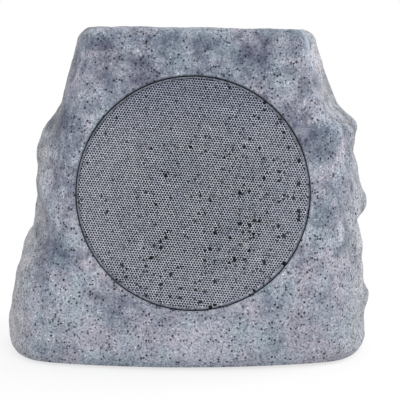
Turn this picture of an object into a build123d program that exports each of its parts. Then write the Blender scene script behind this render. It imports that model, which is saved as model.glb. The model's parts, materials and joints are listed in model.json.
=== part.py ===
from build123d import *

import os
from math import asin, atan2, ceil, cos, degrees, exp, hypot, pi, radians, sin, tan

# A garden loudspeaker in the shape of a rock: a hollow moulded rock with a round perforated grille
# in its leaning front, a coaxial driver behind the grille, and a base plate that closes it below.
# Millimetres. +Z is up, +X is to the right seen from the front, and the front faces -Y.
# The origin is on the ground, under the middle of the rock.

# Rock
ROCK_WIDTH = 364.0
ROCK_DEPTH = 266.0
ROCK_HEIGHT = 319.0
FRONT_LEAN = 7.5            # degrees that the front face leans back
WALL = 6.0
TOP_ROUND = 10.0            # radius of the edge round the top
TOP_FALL_RIGHT = 0.0093     # slope of the top towards the right
TOP_FALL_BACK = 0.05        # slope of the top towards the back
BASE_TUCK = 6.0             # how far the foot of the rock is drawn in
BASE_TUCK_HEIGHT = 14.0
BASE_BOW = 12.0             # how far the front of the foot curves back
BASE_BOW_REACH = 100.0      # the distance from the middle where it does
BASE_BOW_HEIGHT = 75.0      # the bow fades out over this height
CORNER_BLEND = 12.0         # softness of the corners beside the flat front
ROUNDNESS = 2.5             # exponent of the plan outline: 2 is an ellipse, more is squarer
RING_POINTS = 54
BASE_POINTS = 36
RING_SPACING = 16.0

# Plan outline at rising shares of the height: share, then the reach to the left and right as shares
# of half the width, and to the back and the front as shares of half the depth.
# The reach to the front is that of the full outline, before the flat front cuts it off.
LEVELS = (
    (0.00, 0.986, 0.980, 0.985, 1.16),
    (0.15, 0.964, 0.968, 0.985, 1.16),
    (0.30, 0.905, 0.957, 0.947, 1.15),
    (0.45, 0.820, 0.935, 0.887, 1.15),
    (0.60, 0.785, 0.905, 0.797, 1.13),
    (0.75, 0.700, 0.825, 0.684, 1.09),
    (0.90, 0.620, 0.735, 0.549, 1.03),
    (1.00, 0.571, 0.672, 0.420, 0.99),
)

# Swellings and hollows: direction in plan (degrees from the right, the back is 90), share of the
# height, spread across (degrees), spread up (mm) and amount outwards (mm).
LUMPS = (
    (-8, 0.700, 24, 15, 13),
    (-24, 0.640, 12, 22, 4),
    (2, 0.475, 17, 13, 10),
    (-22, 0.520, 11, 16, 4),
    (-14, 0.395, 10, 7, -3),
    (-10, 0.165, 15, 12, 5),
    (-34, 0.340, 8, 30, -4),
    (-27, 0.240, 10, 20, 3),
    (-28, 0.800, 14, 16, -3),
    (-172, 0.640, 22, 24, 9),
    (-158, 0.480, 12, 24, 4),
    (-160, 0.330, 12, 18, -4),
    (-128, 0.830, 12, 12, -3),
    (-122, 0.930, 14, 10, 3),
    (-62, 0.920, 13, 14, 3),
    (-135, 0.180, 13, 20, 3),
    (-108, 0.100, 12, 14, -2),
    (-52, 0.120, 14, 18, 3),
    (26, 0.260, 18, 22, -5),
    (32, 0.600, 18, 20, -5),
    (55, 0.190, 16, 24, 5),
    (52, 0.430, 18, 26, 7),
    (82, 0.360, 18, 20, -5),
    (98, 0.560, 18, 24, 6),
    (62, 0.680, 16, 18, -4),
    (128, 0.240, 16, 26, 6),
    (142, 0.460, 16, 24, -6),
    (124, 0.740, 18, 18, -4),
    (156, 0.640, 15, 24, 6),
    (160, 0.260, 14, 20, -4),
    (72, 0.840, 20, 18, 5),
)

# Slanting folds all over the rock: the turns of each wave to the right, back and up in one length
FOLD_LENGTH = 100.0
FOLD_WAVES = ((0.55, 0.35, 0.30), (-0.30, 0.75, -0.45), (0.25, -0.40, 0.95))
FOLD_BEND = 1.1             # how far each wave bends the next
FOLD_HEIGHT = 9.0
FOLD_LEVEL = 0.17           # share of the folds' height above the plain surface
FOLD_CREST = 0.12           # rounding of the crests, as a share of the folds' height
FOLD_FOOT_FADE = 70.0       # the folds fade out towards the foot and the top over these heights
FOLD_TOP_FADE = 30.0
FRONT_FOLDS = 0.4           # share of the folds that the front has
FRONT_FOLDS_FADE = 40.0

# Pocket, ledge and grille in the front
GRILLE_DIAMETER = 218.0
GRILLE_X = 6.0              # the grille's centre, to the right of the middle
GRILLE_RISE = 6.0           # the grille's centre, above half the height
GRILLE_GAP = 1.0            # open gap round the grille
POCKET_EDGE = 1.4           # bevel of the pocket's edge
GRILLE_SETBACK = 0.8        # grille face behind the rock's front face
GRILLE_SHEET = 0.8
GRILLE_BEND = 1.2           # outer radius of the folded rim
GRILLE_RIM = 9.0            # depth of the folded rim
PERFORATION_PITCH = 18.0    # drawn coarse here, and 2.5 on the real sheet
PERFORATION_SHARE = 0.66    # hole width, as a share of the pitch
PERFORATION_MARGIN = 4.0    # plain band inside the rim
PERFORATION_TURN = -5.2     # degrees that the rows of holes are turned
LAND_WIDTH = 6.0            # flat rock round the pocket
LAND_FADE = 22.0            # the rock's relief comes back over this distance
LEDGE_DEPTH = 16.0          # from the front face to the ledge
LEDGE_THICKNESS = 10.0      # below the seat of the driver
SEAL_WIDTH = 2.5            # inner wall of the grille's seal
SEAL_GRIP = 3.0             # how far the seal covers the rim

# Driver
DRIVER_DIAMETER = 152.0
DRIVER_FLANGE = 3.0
DRIVER_FLANGE_WIDTH = 16.0
DRIVER_GASKET = 1.0
BASKET_SHEET = 1.5
BASKET_WALL = 12.0          # straight wall behind the flange
BASKET_WINDOWS = 6
BASKET_WINDOW_ANGLE = 38.0
SPIDER_RADIUS = 45.0
SPIDER_LAND = 9.0
SPIDER_SHEET = 0.7
SPIDER_WAVE = 1.4
SPIDER_WAVES = 4
SURROUND_ROLL = 5.0         # radius of the half roll
SURROUND_SHEET = 1.0
SURROUND_LAND = 6.0
TRIM_HEIGHT = 2.5
TRIM_WIDTH = 5.5
CONE_DEPTH = 24.0
CONE_SHEET = 0.8
CONE_LAND = 3.0
CONE_FLARE = 2.6            # bulge of the cone's wall towards the front
CONE_NECK = 4.0
VOICE_COIL_RADIUS = 12.7    # inside of the coil former
FORMER_WALL = 0.4
WINDING_WALL = 0.7
WINDING_HEIGHT = 12.0
POLE_GAP = 0.5              # pole to coil former
PLATE_GAP = 0.7             # winding to top plate
TOP_PLATE_RADIUS = 38.0
TOP_PLATE_HEIGHT = 6.0
MAGNET_RADIUS = 42.5
MAGNET_BORE = 20.0
MAGNET_HEIGHT = 14.0
YOKE_HEIGHT = 6.0
MOTOR_DROP = 11.5           # spider to the face of the top plate
DRIVER_SCREWS = 4
DRIVER_SCREW_ANGLE = 45.0
DRIVER_SCREW_INSET = 5.5
TERMINAL_WIDTH = 20.0
TERMINAL_LENGTH = 18.0
TERMINAL_SHEET = 1.6
TAG_WIDTH = 3.0
TAG_LENGTH = 9.0
TAG_SHEET = 0.6
TAG_SPACING = 10.0

# Tweeter on its post
POST_RADIUS = 5.0
POST_STUD = 3.5
POST_STUD_LENGTH = 15.0
POST_BORE = 2.0
POD_RADIUS = 19.0
POD_BACK_RADIUS = 12.0
POD_BACK = 12.0             # the pod's back, behind the driver's flange
POD_FRONT = 4.5             # the pod's rim, in front of the driver's flange
POD_WALL = 1.8
POD_STEP = 2.2              # seat for the dome inside the pod
TWEETER_MOTOR_RADIUS = 9.5
TWEETER_MOTOR_HEIGHT = 9.0
DOME_RADIUS = 12.0
DOME_HEIGHT = 3.6
DOME_SHEET = 0.5
TWEETER_FACE_HEIGHT = 3.0

# Base
FOOT_HEIGHT = 3.0           # the rock's rim stands this far above the ground
FOOT_RADIUS = 9.0
FOOT_STUD = 3.0
FOOT_HEAD = 4.2
FOOT_HEAD_HEIGHT = 2.0
FOOT_INSET = 12.0           # foot centre, inside the flange's edge
FOOT_ANGLES = {"front_right": -38, "back_right": 42, "back_left": 138, "front_left": -142}
RIM_WIDTH = 5.0
BASE_THICKNESS = 5.0
BASE_GASKET = 1.0
BASE_FLANGE = 6.0           # thickness of the shell's inward flange
BASE_FLANGE_WIDTH = 14.0
BASE_SCREW_ANGLES = (-90, -50, 0, 50, 130, 180, -130)
SCREW_BOSS_RADIUS = 5.5
SCREW_BOSS_HEIGHT = 18.0

# Screws, all of one kind
SCREW_RADIUS = 1.6
SCREW_LENGTH = 14.0
SCREW_HEAD_RADIUS = 3.0
SCREW_HEAD_HEIGHT = 2.2
SCREW_HEAD_ROUND = 1.3

# Cable bay and gland at the back
BAY_WIDTH = 54.0
BAY_HEIGHT = 64.0
BAY_DEPTH = 36.0
BAY_CORNER = 10.0
GLAND_HEIGHT = 36.0         # axis above the ground
GLAND_THREAD = 8.0
GLAND_FLATS = 22.0
GLAND_HEX = 5.0
GLAND_BORE = 5.0
GLAND_WASHER = 1.5
GLAND_CAP = 16.0
GLAND_CAP_WALL = 1.8
GLAND_NUT = 5.0
GLAND_TAIL = 2.0            # thread past the nut
GLAND_SEAL_BORE = 4.0
GLAND_SEAL_LENGTH = 9.0

# Crossover on the base plate
BOARD_LENGTH = 90.0
BOARD_WIDTH = 56.0
BOARD_THICKNESS = 1.6
BOARD_CORNER = 3.0
BOARD_X = -30.0
BOARD_Y = 22.0
BOARD_STANDOFF = 8.0
BOARD_STANDOFF_RADIUS = 3.5
BOARD_SCREW_INSET = 5.0
BOARD_SCREW_LENGTH = 7.0
INDUCTOR_RADIUS = 16.0
INDUCTOR_BORE = 5.0
INDUCTOR_HEIGHT = 15.0
INDUCTOR_CHEEK = 2.0
CAPACITOR_RADIUS = 8.0
CAPACITOR_LENGTH = 30.0
CAPACITOR_EDGE = 1.2
RESISTOR_LENGTH = 24.0
RESISTOR_WIDTH = 8.0
BLOCK_LENGTH = 30.0
BLOCK_WIDTH = 12.0
BLOCK_HEIGHT = 11.0
BLOCK_INSET = 1.0           # from the board's edge
LEAD_RADIUS = 1.8
LEAD_BEND = 16.0

FIT = 0.1                   # clearance of pieces that fit into each other
SEAT_CLEARANCE = 0.5        # clearance round pieces that are laid into a recess
PAST = 1.0                  # how far a cutting form reaches past the face that it cuts

# Values worked out from those above
RIM_Z = FOOT_HEIGHT
BASE_TOP = RIM_Z + BASE_THICKNESS
FLANGE_Z = BASE_TOP + BASE_GASKET
CAVITY_Z = FLANGE_Z + BASE_FLANGE
OPENING_INSET = RIM_WIDTH + BASE_FLANGE_WIDTH
POCKET_RADIUS = GRILLE_DIAMETER / 2 + GRILLE_GAP
GRILLE_Z = ROCK_HEIGHT / 2 + GRILLE_RISE
LEAN = tan(radians(FRONT_LEAN))
BAY_FLOOR = ROCK_DEPTH / 2 * LEVELS[0][3] - BAY_DEPTH


def front_y(height):
    """Y of the leaning front face at a height."""
    return -ROCK_DEPTH / 2 + (height - RIM_Z) * LEAN


FRONT = Plane(
    origin=(GRILLE_X, front_y(GRILLE_Z), GRILLE_Z),
    x_dir=(1, 0, 0),
    z_dir=(0, -cos(radians(FRONT_LEAN)), sin(radians(FRONT_LEAN))),
)
LEDGE = FRONT.offset(-LEDGE_DEPTH)


# The rock's form

def height_share(height):
    return (height - RIM_Z) / (ROCK_HEIGHT - RIM_Z)


def reach(share):
    """Reach to the left, right, back and front at a share of the height, smooth between the levels."""
    last = len(LEVELS) - 2
    i = min(max(k for k in range(last + 1) if k == 0 or LEVELS[k][0] <= share), last)
    before, low, high, after = (LEVELS[min(max(i + k, 0), last + 1)] for k in (-1, 0, 1, 2))
    span = high[0] - low[0]
    t = (share - low[0]) / span
    values = []
    for k in range(1, len(low)):
        slope_low = (high[k] - before[k]) / (high[0] - before[0]) * span
        slope_high = (after[k] - low[k]) / (after[0] - low[0]) * span
        rise = high[k] - low[k]
        bend_low = slope_low - rise
        bend_high = rise - slope_high
        values.append(low[k] + rise * t + t * (1 - t) * (bend_low * (1 - t) + bend_high * t))
    return values


def smooth_step(value):
    t = min(max(value, 0), 1)
    return t * t * (3 - 2 * t)


def smooth_max(a, b, blend):
    h = min(max(0.5 + 0.5 * (a - b) / blend, 0), 1)
    return b + (a - b) * h + blend * h * (1 - h)


def folds(x, y, height):
    """Height of the folds, which are lower on the front and end before the foot and the top."""
    total = 0
    phase = 0
    for right, back, up in FOLD_WAVES:
        phase = 2 * pi * (right * x + back * y + up * height) / FOLD_LENGTH + FOLD_BEND * sin(phase)
        total += sin(phase) / len(FOLD_WAVES)
    behind = smooth_step((y - front_y(height)) / FRONT_FOLDS_FADE)
    share = FRONT_FOLDS + (1 - FRONT_FOLDS) * behind
    share *= smooth_step((height - RIM_Z) / FOLD_FOOT_FADE)
    share *= smooth_step((ROCK_HEIGHT - height) / FOLD_TOP_FADE)
    return share * FOLD_HEIGHT * (FOLD_LEVEL - hypot(total, FOLD_CREST))


def relief(x, y, height):
    """How far lumps and folds push the surface outwards, which is nothing on the land round the grille."""
    direction = degrees(atan2(y, x))
    share = height_share(height)
    total = folds(x, y, height)
    for angle, at_share, across, up, amount in LUMPS:
        turn = (direction - angle + 180) % 360 - 180
        rise = (share - at_share) * (ROCK_HEIGHT - RIM_Z)
        total += amount * exp(-((turn / across) ** 2) - (rise / up) ** 2)
    if y > 0:
        return total
    distance = hypot(x - GRILLE_X, height - GRILLE_Z)
    return total * smooth_step((distance - POCKET_RADIUS - LAND_WIDTH) / LAND_FADE)


def rock_point(angle, height):
    """Point of the rock's surface in a direction of the plan, before edges are rounded."""
    left, right, back, front = reach(height_share(height))
    c = cos(radians(angle))
    s = sin(radians(angle))
    half_width = (right if c > 0 else left) * ROCK_WIDTH / 2
    half_depth = (back if s > 0 else front) * ROCK_DEPTH / 2
    radius = (abs(c / half_width) ** ROUNDNESS + abs(s / half_depth) ** ROUNDNESS) ** (-1 / ROUNDNESS)
    x = radius * c
    y = radius * s
    if s < 0:
        bow = BASE_BOW * smooth_step(1 - (height - RIM_Z) / BASE_BOW_HEIGHT)
        y = smooth_max(y, front_y(height) + bow * (x / BASE_BOW_REACH) ** 2, CORNER_BLEND)
    out = relief(x, y, height)
    distance = hypot(x, y)
    return x + out * x / distance, y + out * y / distance


def ring_points(height, inset, count):
    """Closed outline of the rock at a height, moved inwards by an inset."""
    outline = [rock_point(90 + 360 * k / count, height) for k in range(count)]
    share = height_share(height)
    points = []
    for k, (x, y) in enumerate(outline):
        before = outline[k - 1]
        after = outline[(k + 1) % count]
        along_x = after[0] - before[0]
        along_y = after[1] - before[1]
        length = hypot(along_x, along_y)
        x -= inset * along_y / length
        y += inset * along_x / length
        fall = TOP_FALL_RIGHT * x + TOP_FALL_BACK * (y - front_y(height))
        points.append((x, y, height - share * fall))
    return points


def edge_tuck(height, top):
    """How far the surface is drawn in near its lower and its upper edge."""
    foot = max(0, 1 - (height - RIM_Z) / BASE_TUCK_HEIGHT)
    over = max(0, TOP_ROUND - (top - height))
    return BASE_TUCK * foot ** 2 + TOP_ROUND - (TOP_ROUND ** 2 - over ** 2) ** 0.5


def rock_solid(inset, bottom):
    """The rock's solid form, or its cavity when moved inwards."""
    top = ROCK_HEIGHT - inset
    low = bottom + BASE_TUCK_HEIGHT
    high = top - TOP_ROUND
    steps = ceil((high - low) / RING_SPACING)
    heights = [bottom + BASE_TUCK_HEIGHT * share for share in (0, 0.3, 0.6)]
    heights += [low + (high - low) * k / steps for k in range(steps + 1)]
    heights += [high + TOP_ROUND * sin(radians(turn)) for turn in (30, 60, 90)]
    rings = []
    for height in heights:
        points = ring_points(height, inset + edge_tuck(height, top), RING_POINTS)
        rings.append(Wire([Edge.make_spline([Vector(*point) for point in points], periodic=True)]))
    return Part() + Solid.make_loft(rings)


def bay(grow):
    """Cable bay at the back, open to the back and the ground, grown by a wall."""
    height = BAY_HEIGHT + BAY_CORNER
    section = RectangleRounded(BAY_WIDTH + 2 * grow, 2 * height + 2 * grow, BAY_CORNER + grow)
    face = Plane((0, BAY_FLOOR - grow, -BAY_CORNER), x_dir=(-1, 0, 0), z_dir=(0, 1, 0)) * section
    return extrude(face, ROCK_DEPTH)


def base_outline(inset, low, high):
    """Upright slab with the outline of the rock's foot, moved inwards, without the cable bay."""
    points = ring_points(RIM_Z, inset + edge_tuck(RIM_Z, ROCK_HEIGHT), BASE_POINTS)
    wire = Wire([Edge.make_spline([Vector(x, y, low) for x, y, _ in points], periodic=True)])
    return extrude(Face(wire), high - low, dir=(0, 0, 1)) - bay(inset)


# Simple forms

def disc(radius, low, high):
    return Pos(0, 0, low) * Cylinder(radius, high - low, align=(Align.CENTER, Align.CENTER, Align.MIN))


def tube(outer, inner, low, high):
    return disc(outer, low, high) - disc(inner, low - PAST, high + PAST)


def turned(*outline):
    """Solid of revolution about Z from a closed outline of radius and height."""
    return revolve(Plane.XZ * make_face(Polyline(*outline, close=True)), Axis.Z)


def hexagon(flats, low, high):
    return Pos(0, 0, low) * extrude(RegularPolygon(flats / 2, 6, major_radius=False), high - low)


def screw(length):
    """Pan head screw with its head above the origin."""
    head = disc(SCREW_HEAD_RADIUS, 0, SCREW_HEAD_HEIGHT)
    head = fillet(head.edges().group_by(Axis.Z)[-1], SCREW_HEAD_ROUND)
    return head + disc(SCREW_RADIUS, -length, 0)


def screw_hole(length):
    return disc(SCREW_RADIUS + FIT, -length, 0)


def around(count, start):
    """Turns about Z, evenly spaced."""
    return [Rot(0, 0, start + 360 * k / count) for k in range(count)]


def base_place(angle, inset, height):
    """Place over the base, at a direction of the plan and an inset from the rim."""
    x, y = rock_point(angle, RIM_Z)
    distance = hypot(x, y)
    along = (distance - inset - BASE_TUCK) / distance
    return Pos(x * along, y * along, height)


# Places shared by pieces that meet

BASE_SCREW_INSET = RIM_WIDTH + BASE_FLANGE_WIDTH / 2
BASE_SCREW_PLACES = [
    base_place(angle, BASE_SCREW_INSET, RIM_Z + SCREW_HEAD_HEIGHT) for angle in BASE_SCREW_ANGLES
]
FOOT_PLACES = {
    name: base_place(angle, OPENING_INSET + FOOT_INSET, 0) for name, angle in FOOT_ANGLES.items()
}
FLANGE_RADIUS = DRIVER_DIAMETER / 2
THROAT_RADIUS = FLANGE_RADIUS - DRIVER_FLANGE_WIDTH
CUTOUT_RADIUS = THROAT_RADIUS + BASKET_SHEET + SEAT_CLEARANCE
DRIVER_SEAT = -DRIVER_FLANGE - DRIVER_GASKET
DRIVER_SCREW_PLACES = [
    LEDGE.location * turn * Pos(FLANGE_RADIUS - DRIVER_SCREW_INSET, 0, 0)
    for turn in around(DRIVER_SCREWS, DRIVER_SCREW_ANGLE)
]
GLAND = Plane((0, BAY_FLOOR, GLAND_HEIGHT), x_dir=(-1, 0, 0), z_dir=(0, 1, 0))


# Shell, grille and seal

def rock_shell():
    seat_back = DRIVER_SEAT - LEDGE_THICKNESS
    boss = disc(SCREW_BOSS_RADIUS, FLANGE_Z, FLANGE_Z + SCREW_BOSS_HEIGHT)
    bosses = [Pos(place.position.X, place.position.Y, 0) * boss for place in BASE_SCREW_PLACES]
    seat_wall = LEDGE * disc(POCKET_RADIUS + WALL, seat_back, LEDGE_DEPTH + WALL)
    cavity = rock_solid(WALL, CAVITY_Z) - [bay(WALL), seat_wall] - bosses
    driver_hole = turned(
        (0, LEDGE_DEPTH + WALL), (POCKET_RADIUS + POCKET_EDGE + WALL, LEDGE_DEPTH + WALL),
        (POCKET_RADIUS, LEDGE_DEPTH - POCKET_EDGE), (POCKET_RADIUS, 0),
        (FLANGE_RADIUS + SEAT_CLEARANCE, 0), (FLANGE_RADIUS + SEAT_CLEARANCE, DRIVER_SEAT),
        (CUTOUT_RADIUS, DRIVER_SEAT), (CUTOUT_RADIUS, seat_back - WALL), (0, seat_back - WALL),
    )
    screw_holes = [place * Rot(180, 0, 0) * screw_hole(SCREW_LENGTH + FIT) for place in BASE_SCREW_PLACES]
    screw_holes += [place * screw_hole(SCREW_LENGTH - FIT) for place in DRIVER_SCREW_PLACES]
    gland_hole = GLAND * disc(GLAND_THREAD + FIT, -2 * WALL, WALL)
    shell = rock_solid(0, RIM_Z) - bay(0) - base_outline(RIM_WIDTH, 0, FLANGE_Z)
    shell = shell - base_outline(OPENING_INSET, RIM_Z, CAVITY_Z + FIT) - LEDGE * driver_hole - cavity
    return shell - [*screw_holes, gland_hole]


def grille():
    radius = GRILLE_DIAMETER / 2
    top = -GRILLE_SETBACK
    flat = radius - GRILLE_BEND
    hole = PERFORATION_PITCH * PERFORATION_SHARE
    field = flat - PERFORATION_MARGIN - hole / 2
    row_height = PERFORATION_PITCH * cos(radians(30))
    rows = ceil(field / row_height)
    holes = []
    for row in range(-rows, rows + 1):
        for column in range(-rows, rows + 1):
            x = (column + row % 2 / 2) * PERFORATION_PITCH
            y = row * row_height
            if hypot(x, y) < field:
                outline = Pos(x, y) * RegularPolygon(hole / 2, 6, major_radius=False, rotation=30)
                holes.append((Rot(0, 0, PERFORATION_TURN) * outline).wire())
    sheet = extrude(Pos(0, 0, top) * Face(Wire.make_circle(flat), holes), -GRILLE_SHEET)
    inner = radius - GRILLE_SHEET
    outer_bend = RadiusArc((flat, top), (radius, top - GRILLE_BEND), -GRILLE_BEND)
    inner_radius = GRILLE_BEND - GRILLE_SHEET
    inner_bend = RadiusArc((inner, top - GRILLE_BEND), (flat, top - GRILLE_SHEET), inner_radius)
    skirt = Polyline((radius, top - GRILLE_BEND), (radius, top - GRILLE_RIM), (inner, top - GRILLE_RIM),
                     (inner, top - GRILLE_BEND))
    joint = Line((flat, top - GRILLE_SHEET), (flat, top))
    rim = revolve(Plane.XZ * make_face([outer_bend, skirt, inner_bend, joint]), Axis.Z)
    return FRONT * (rim + sheet)


def grille_seal():
    """Channel section ring on the ledge that grips the edge of the grille's rim."""
    radius = GRILLE_DIAMETER / 2
    rim_edge = -GRILLE_SETBACK - GRILLE_RIM
    body = tube(POCKET_RADIUS - FIT, radius - GRILLE_SHEET - SEAL_WIDTH, -LEDGE_DEPTH, rim_edge + SEAL_GRIP)
    groove = tube(radius + FIT, radius - GRILLE_SHEET - FIT, rim_edge, rim_edge + SEAL_GRIP + FIT)
    return FRONT * (body - groove)


# Driver, with its flange's front face at height 0 and flush with the ledge

SURROUND_SEAT = -SURROUND_SHEET * 1.5
ROLL_CENTRE = THROAT_RADIUS - SURROUND_ROLL + SURROUND_SHEET / 2
CONE_RADIUS = ROLL_CENTRE - SURROUND_ROLL
FORMER_RADIUS = VOICE_COIL_RADIUS + FORMER_WALL
NECK_TOP = SURROUND_SEAT - CONE_DEPTH
SPIDER_Z = NECK_TOP - CONE_NECK - SPIDER_WAVE
MOTOR_Z = SPIDER_Z - MOTOR_DROP
POLE_RADIUS = VOICE_COIL_RADIUS - POLE_GAP
WINDING_RADIUS = FORMER_RADIUS + WINDING_WALL
MAGNET_Z = MOTOR_Z - TOP_PLATE_HEIGHT
YOKE_Z = MAGNET_Z - MAGNET_HEIGHT
MOTOR_BACK = YOKE_Z - YOKE_HEIGHT
SPIDER_SEAT = SPIDER_Z - SPIDER_SHEET / 2
TERMINAL_Z = SPIDER_SEAT - BASKET_SHEET


def driver_basket():
    t = BASKET_SHEET
    spider_inner = SPIDER_RADIUS - SPIDER_LAND
    plate_hole = WINDING_RADIUS + 2 * PLATE_GAP
    frame = turned(
        (FLANGE_RADIUS, 0), (FLANGE_RADIUS, -DRIVER_FLANGE), (THROAT_RADIUS + t, -DRIVER_FLANGE),
        (THROAT_RADIUS + t, -BASKET_WALL), (SPIDER_RADIUS + t, SPIDER_SEAT - t),
        (spider_inner + t, SPIDER_SEAT - t), (spider_inner + t, MOTOR_Z), (plate_hole, MOTOR_Z),
        (plate_hole, MOTOR_Z + t), (spider_inner, MOTOR_Z + t), (spider_inner, SPIDER_SEAT),
        (SPIDER_RADIUS, SPIDER_SEAT), (THROAT_RADIUS, -BASKET_WALL), (THROAT_RADIUS, SURROUND_SEAT),
        (THROAT_RADIUS + SURROUND_LAND, SURROUND_SEAT), (THROAT_RADIUS + SURROUND_LAND, 0),
    )
    low = SPIDER_SEAT + 2 * t
    high = -BASKET_WALL + 2 * t
    half = radians(BASKET_WINDOW_ANGLE / 2)
    reach_out = FLANGE_RADIUS
    wedge = make_face(Polyline((0, 0), (reach_out * cos(half), -reach_out * sin(half)),
                               (reach_out * cos(half), reach_out * sin(half)), close=True))
    window = extrude(Pos(0, 0, low) * wedge, high - low)
    for turn in around(BASKET_WINDOWS, 0):
        frame -= turn * window
    for turn in around(DRIVER_SCREWS, DRIVER_SCREW_ANGLE):
        frame -= turn * Pos(FLANGE_RADIUS - DRIVER_SCREW_INSET, 0, 0) * screw_hole(DRIVER_FLANGE + PAST)
    return LEDGE * frame


def driver_gasket():
    ring = tube(FLANGE_RADIUS, CUTOUT_RADIUS, DRIVER_SEAT, -DRIVER_FLANGE)
    for turn in around(DRIVER_SCREWS, DRIVER_SCREW_ANGLE):
        ring -= turn * Pos(FLANGE_RADIUS - DRIVER_SCREW_INSET, 0, 0) * screw_hole(-DRIVER_SEAT + PAST)
    return LEDGE * ring


def driver_screws():
    return Compound([place * screw(SCREW_LENGTH - 2 * FIT) for place in DRIVER_SCREW_PLACES])


def trim_ring():
    """Foam ring over the outer edge of the surround."""
    inner = THROAT_RADIUS + SURROUND_SHEET
    ring = tube(inner + TRIM_WIDTH, inner, 0, TRIM_HEIGHT)
    return LEDGE * chamfer(ring.edges().group_by(Axis.Z)[-1], TRIM_HEIGHT / 3)


def surround():
    low = SURROUND_SEAT
    middle = low + SURROUND_SHEET / 2
    roll = Circle(SURROUND_ROLL) - Circle(SURROUND_ROLL - SURROUND_SHEET)
    upper = Pos(0, SURROUND_ROLL) * Rectangle(2 * SURROUND_ROLL, 2 * SURROUND_ROLL)
    roll = Pos(ROLL_CENTRE, middle) * (roll & upper)
    roll_edge = ROLL_CENTRE + SURROUND_ROLL - SURROUND_SHEET
    land_edge = THROAT_RADIUS + SURROUND_LAND
    outer = Polyline((roll_edge, low), (land_edge, low), (land_edge, 0), (roll_edge, 0), close=True)
    inner = Polyline((CONE_RADIUS - CONE_LAND, low), (CONE_RADIUS + SURROUND_SHEET, low),
                     (CONE_RADIUS + SURROUND_SHEET, low + SURROUND_SHEET),
                     (CONE_RADIUS - CONE_LAND, low + SURROUND_SHEET), close=True)
    section = roll + make_face(outer) + make_face(inner)
    return LEDGE * revolve(Plane.XZ * section, Axis.Z)


def cone():
    t = CONE_SHEET
    edge = CONE_RADIUS - CONE_LAND
    middle = (edge + FORMER_RADIUS) / 2
    rise = SURROUND_SEAT - CONE_DEPTH / 2 + CONE_FLARE
    front = ThreePointArc((edge, SURROUND_SEAT), (middle, rise), (FORMER_RADIUS, NECK_TOP))
    back = ThreePointArc((FORMER_RADIUS + t, NECK_TOP - t), (middle + t / 2, rise - t),
                         (edge + t / 2, SURROUND_SEAT - t))
    rim = Polyline((edge + t / 2, SURROUND_SEAT - t), (CONE_RADIUS, SURROUND_SEAT - t),
                   (CONE_RADIUS, SURROUND_SEAT), (edge, SURROUND_SEAT))
    neck = Polyline((FORMER_RADIUS, NECK_TOP), (FORMER_RADIUS, NECK_TOP - CONE_NECK),
                    (FORMER_RADIUS + t, NECK_TOP - CONE_NECK), (FORMER_RADIUS + t, NECK_TOP - t))
    return LEDGE * revolve(Plane.XZ * make_face([front, neck, back, rim]), Axis.Z)


def voice_coil_former():
    bottom = MOTOR_Z - TOP_PLATE_HEIGHT / 2 - WINDING_HEIGHT / 2 - FORMER_WALL
    return LEDGE * tube(FORMER_RADIUS, VOICE_COIL_RADIUS, bottom, NECK_TOP)


def voice_coil():
    low = MOTOR_Z - TOP_PLATE_HEIGHT / 2 - WINDING_HEIGHT / 2
    return LEDGE * tube(WINDING_RADIUS, FORMER_RADIUS, low, low + WINDING_HEIGHT)


def spider():
    """Corrugated disc from the coil former to the land in the basket."""
    inner = FORMER_RADIUS
    land = SPIDER_RADIUS - SPIDER_LAND
    collar = inner + CONE_LAND
    half_wave = (land - collar) / (2 * SPIDER_WAVES)
    crests = [(collar, SPIDER_Z)]
    for k in range(2 * SPIDER_WAVES):
        side = 1 if k % 2 == 0 else -1
        crests.append((collar + (k + 0.5) * half_wave, SPIDER_Z + side * SPIDER_WAVE))
        crests.append((collar + (k + 1) * half_wave, SPIDER_Z))
    half = SPIDER_SHEET / 2
    upper = [(r, z + half) for r, z in crests]
    lower = [(r, z - half) for r, z in reversed(crests)]
    return LEDGE * turned((inner, SPIDER_Z + half), *upper, (SPIDER_RADIUS - FIT, SPIDER_Z + half),
                          (SPIDER_RADIUS - FIT, SPIDER_Z - half), *lower, (inner, SPIDER_Z - half))


def top_plate():
    return LEDGE * tube(TOP_PLATE_RADIUS, WINDING_RADIUS + PLATE_GAP, MAGNET_Z, MOTOR_Z)


def magnet():
    ring = tube(MAGNET_RADIUS, MAGNET_BORE, YOKE_Z, MAGNET_Z)
    return LEDGE * chamfer(ring.edges().filter_by(GeomType.CIRCLE).group_by(SortBy.RADIUS)[-1], BASKET_SHEET)


def yoke():
    plate = disc(TOP_PLATE_RADIUS, MOTOR_BACK, YOKE_Z)
    plate = chamfer(plate.edges().group_by(Axis.Z)[0], BASKET_SHEET)
    pole = disc(POLE_RADIUS, YOKE_Z, MOTOR_Z)
    return LEDGE * (plate + pole - disc(POST_STUD + FIT, MOTOR_BACK - PAST, MOTOR_Z + PAST))


def terminal_strip():
    """Board under the spider land, on the side that points down."""
    inner = SPIDER_RADIUS - SPIDER_LAND + BASKET_SHEET + SEAT_CLEARANCE
    low = TERMINAL_Z - TERMINAL_SHEET
    board = Pos(0, -inner - TERMINAL_LENGTH / 2, low + TERMINAL_SHEET / 2)
    return LEDGE * board * Box(TERMINAL_WIDTH, TERMINAL_LENGTH, TERMINAL_SHEET)


TAG_END = SPIDER_RADIUS - SPIDER_LAND + BASKET_SHEET + SEAT_CLEARANCE + TERMINAL_LENGTH + TAG_LENGTH / 2
TAG_Z = TERMINAL_Z - TERMINAL_SHEET - TAG_SHEET / 2


def solder_tags():
    tags = []
    for side in (-1, 1):
        place = Pos(side * TAG_SPACING / 2, -TAG_END + TAG_LENGTH / 2, TAG_Z)
        tags.append(LEDGE * place * Box(TAG_WIDTH, TAG_LENGTH, TAG_SHEET))
    return Compound(tags)


# Tweeter, in the driver's frame

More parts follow.
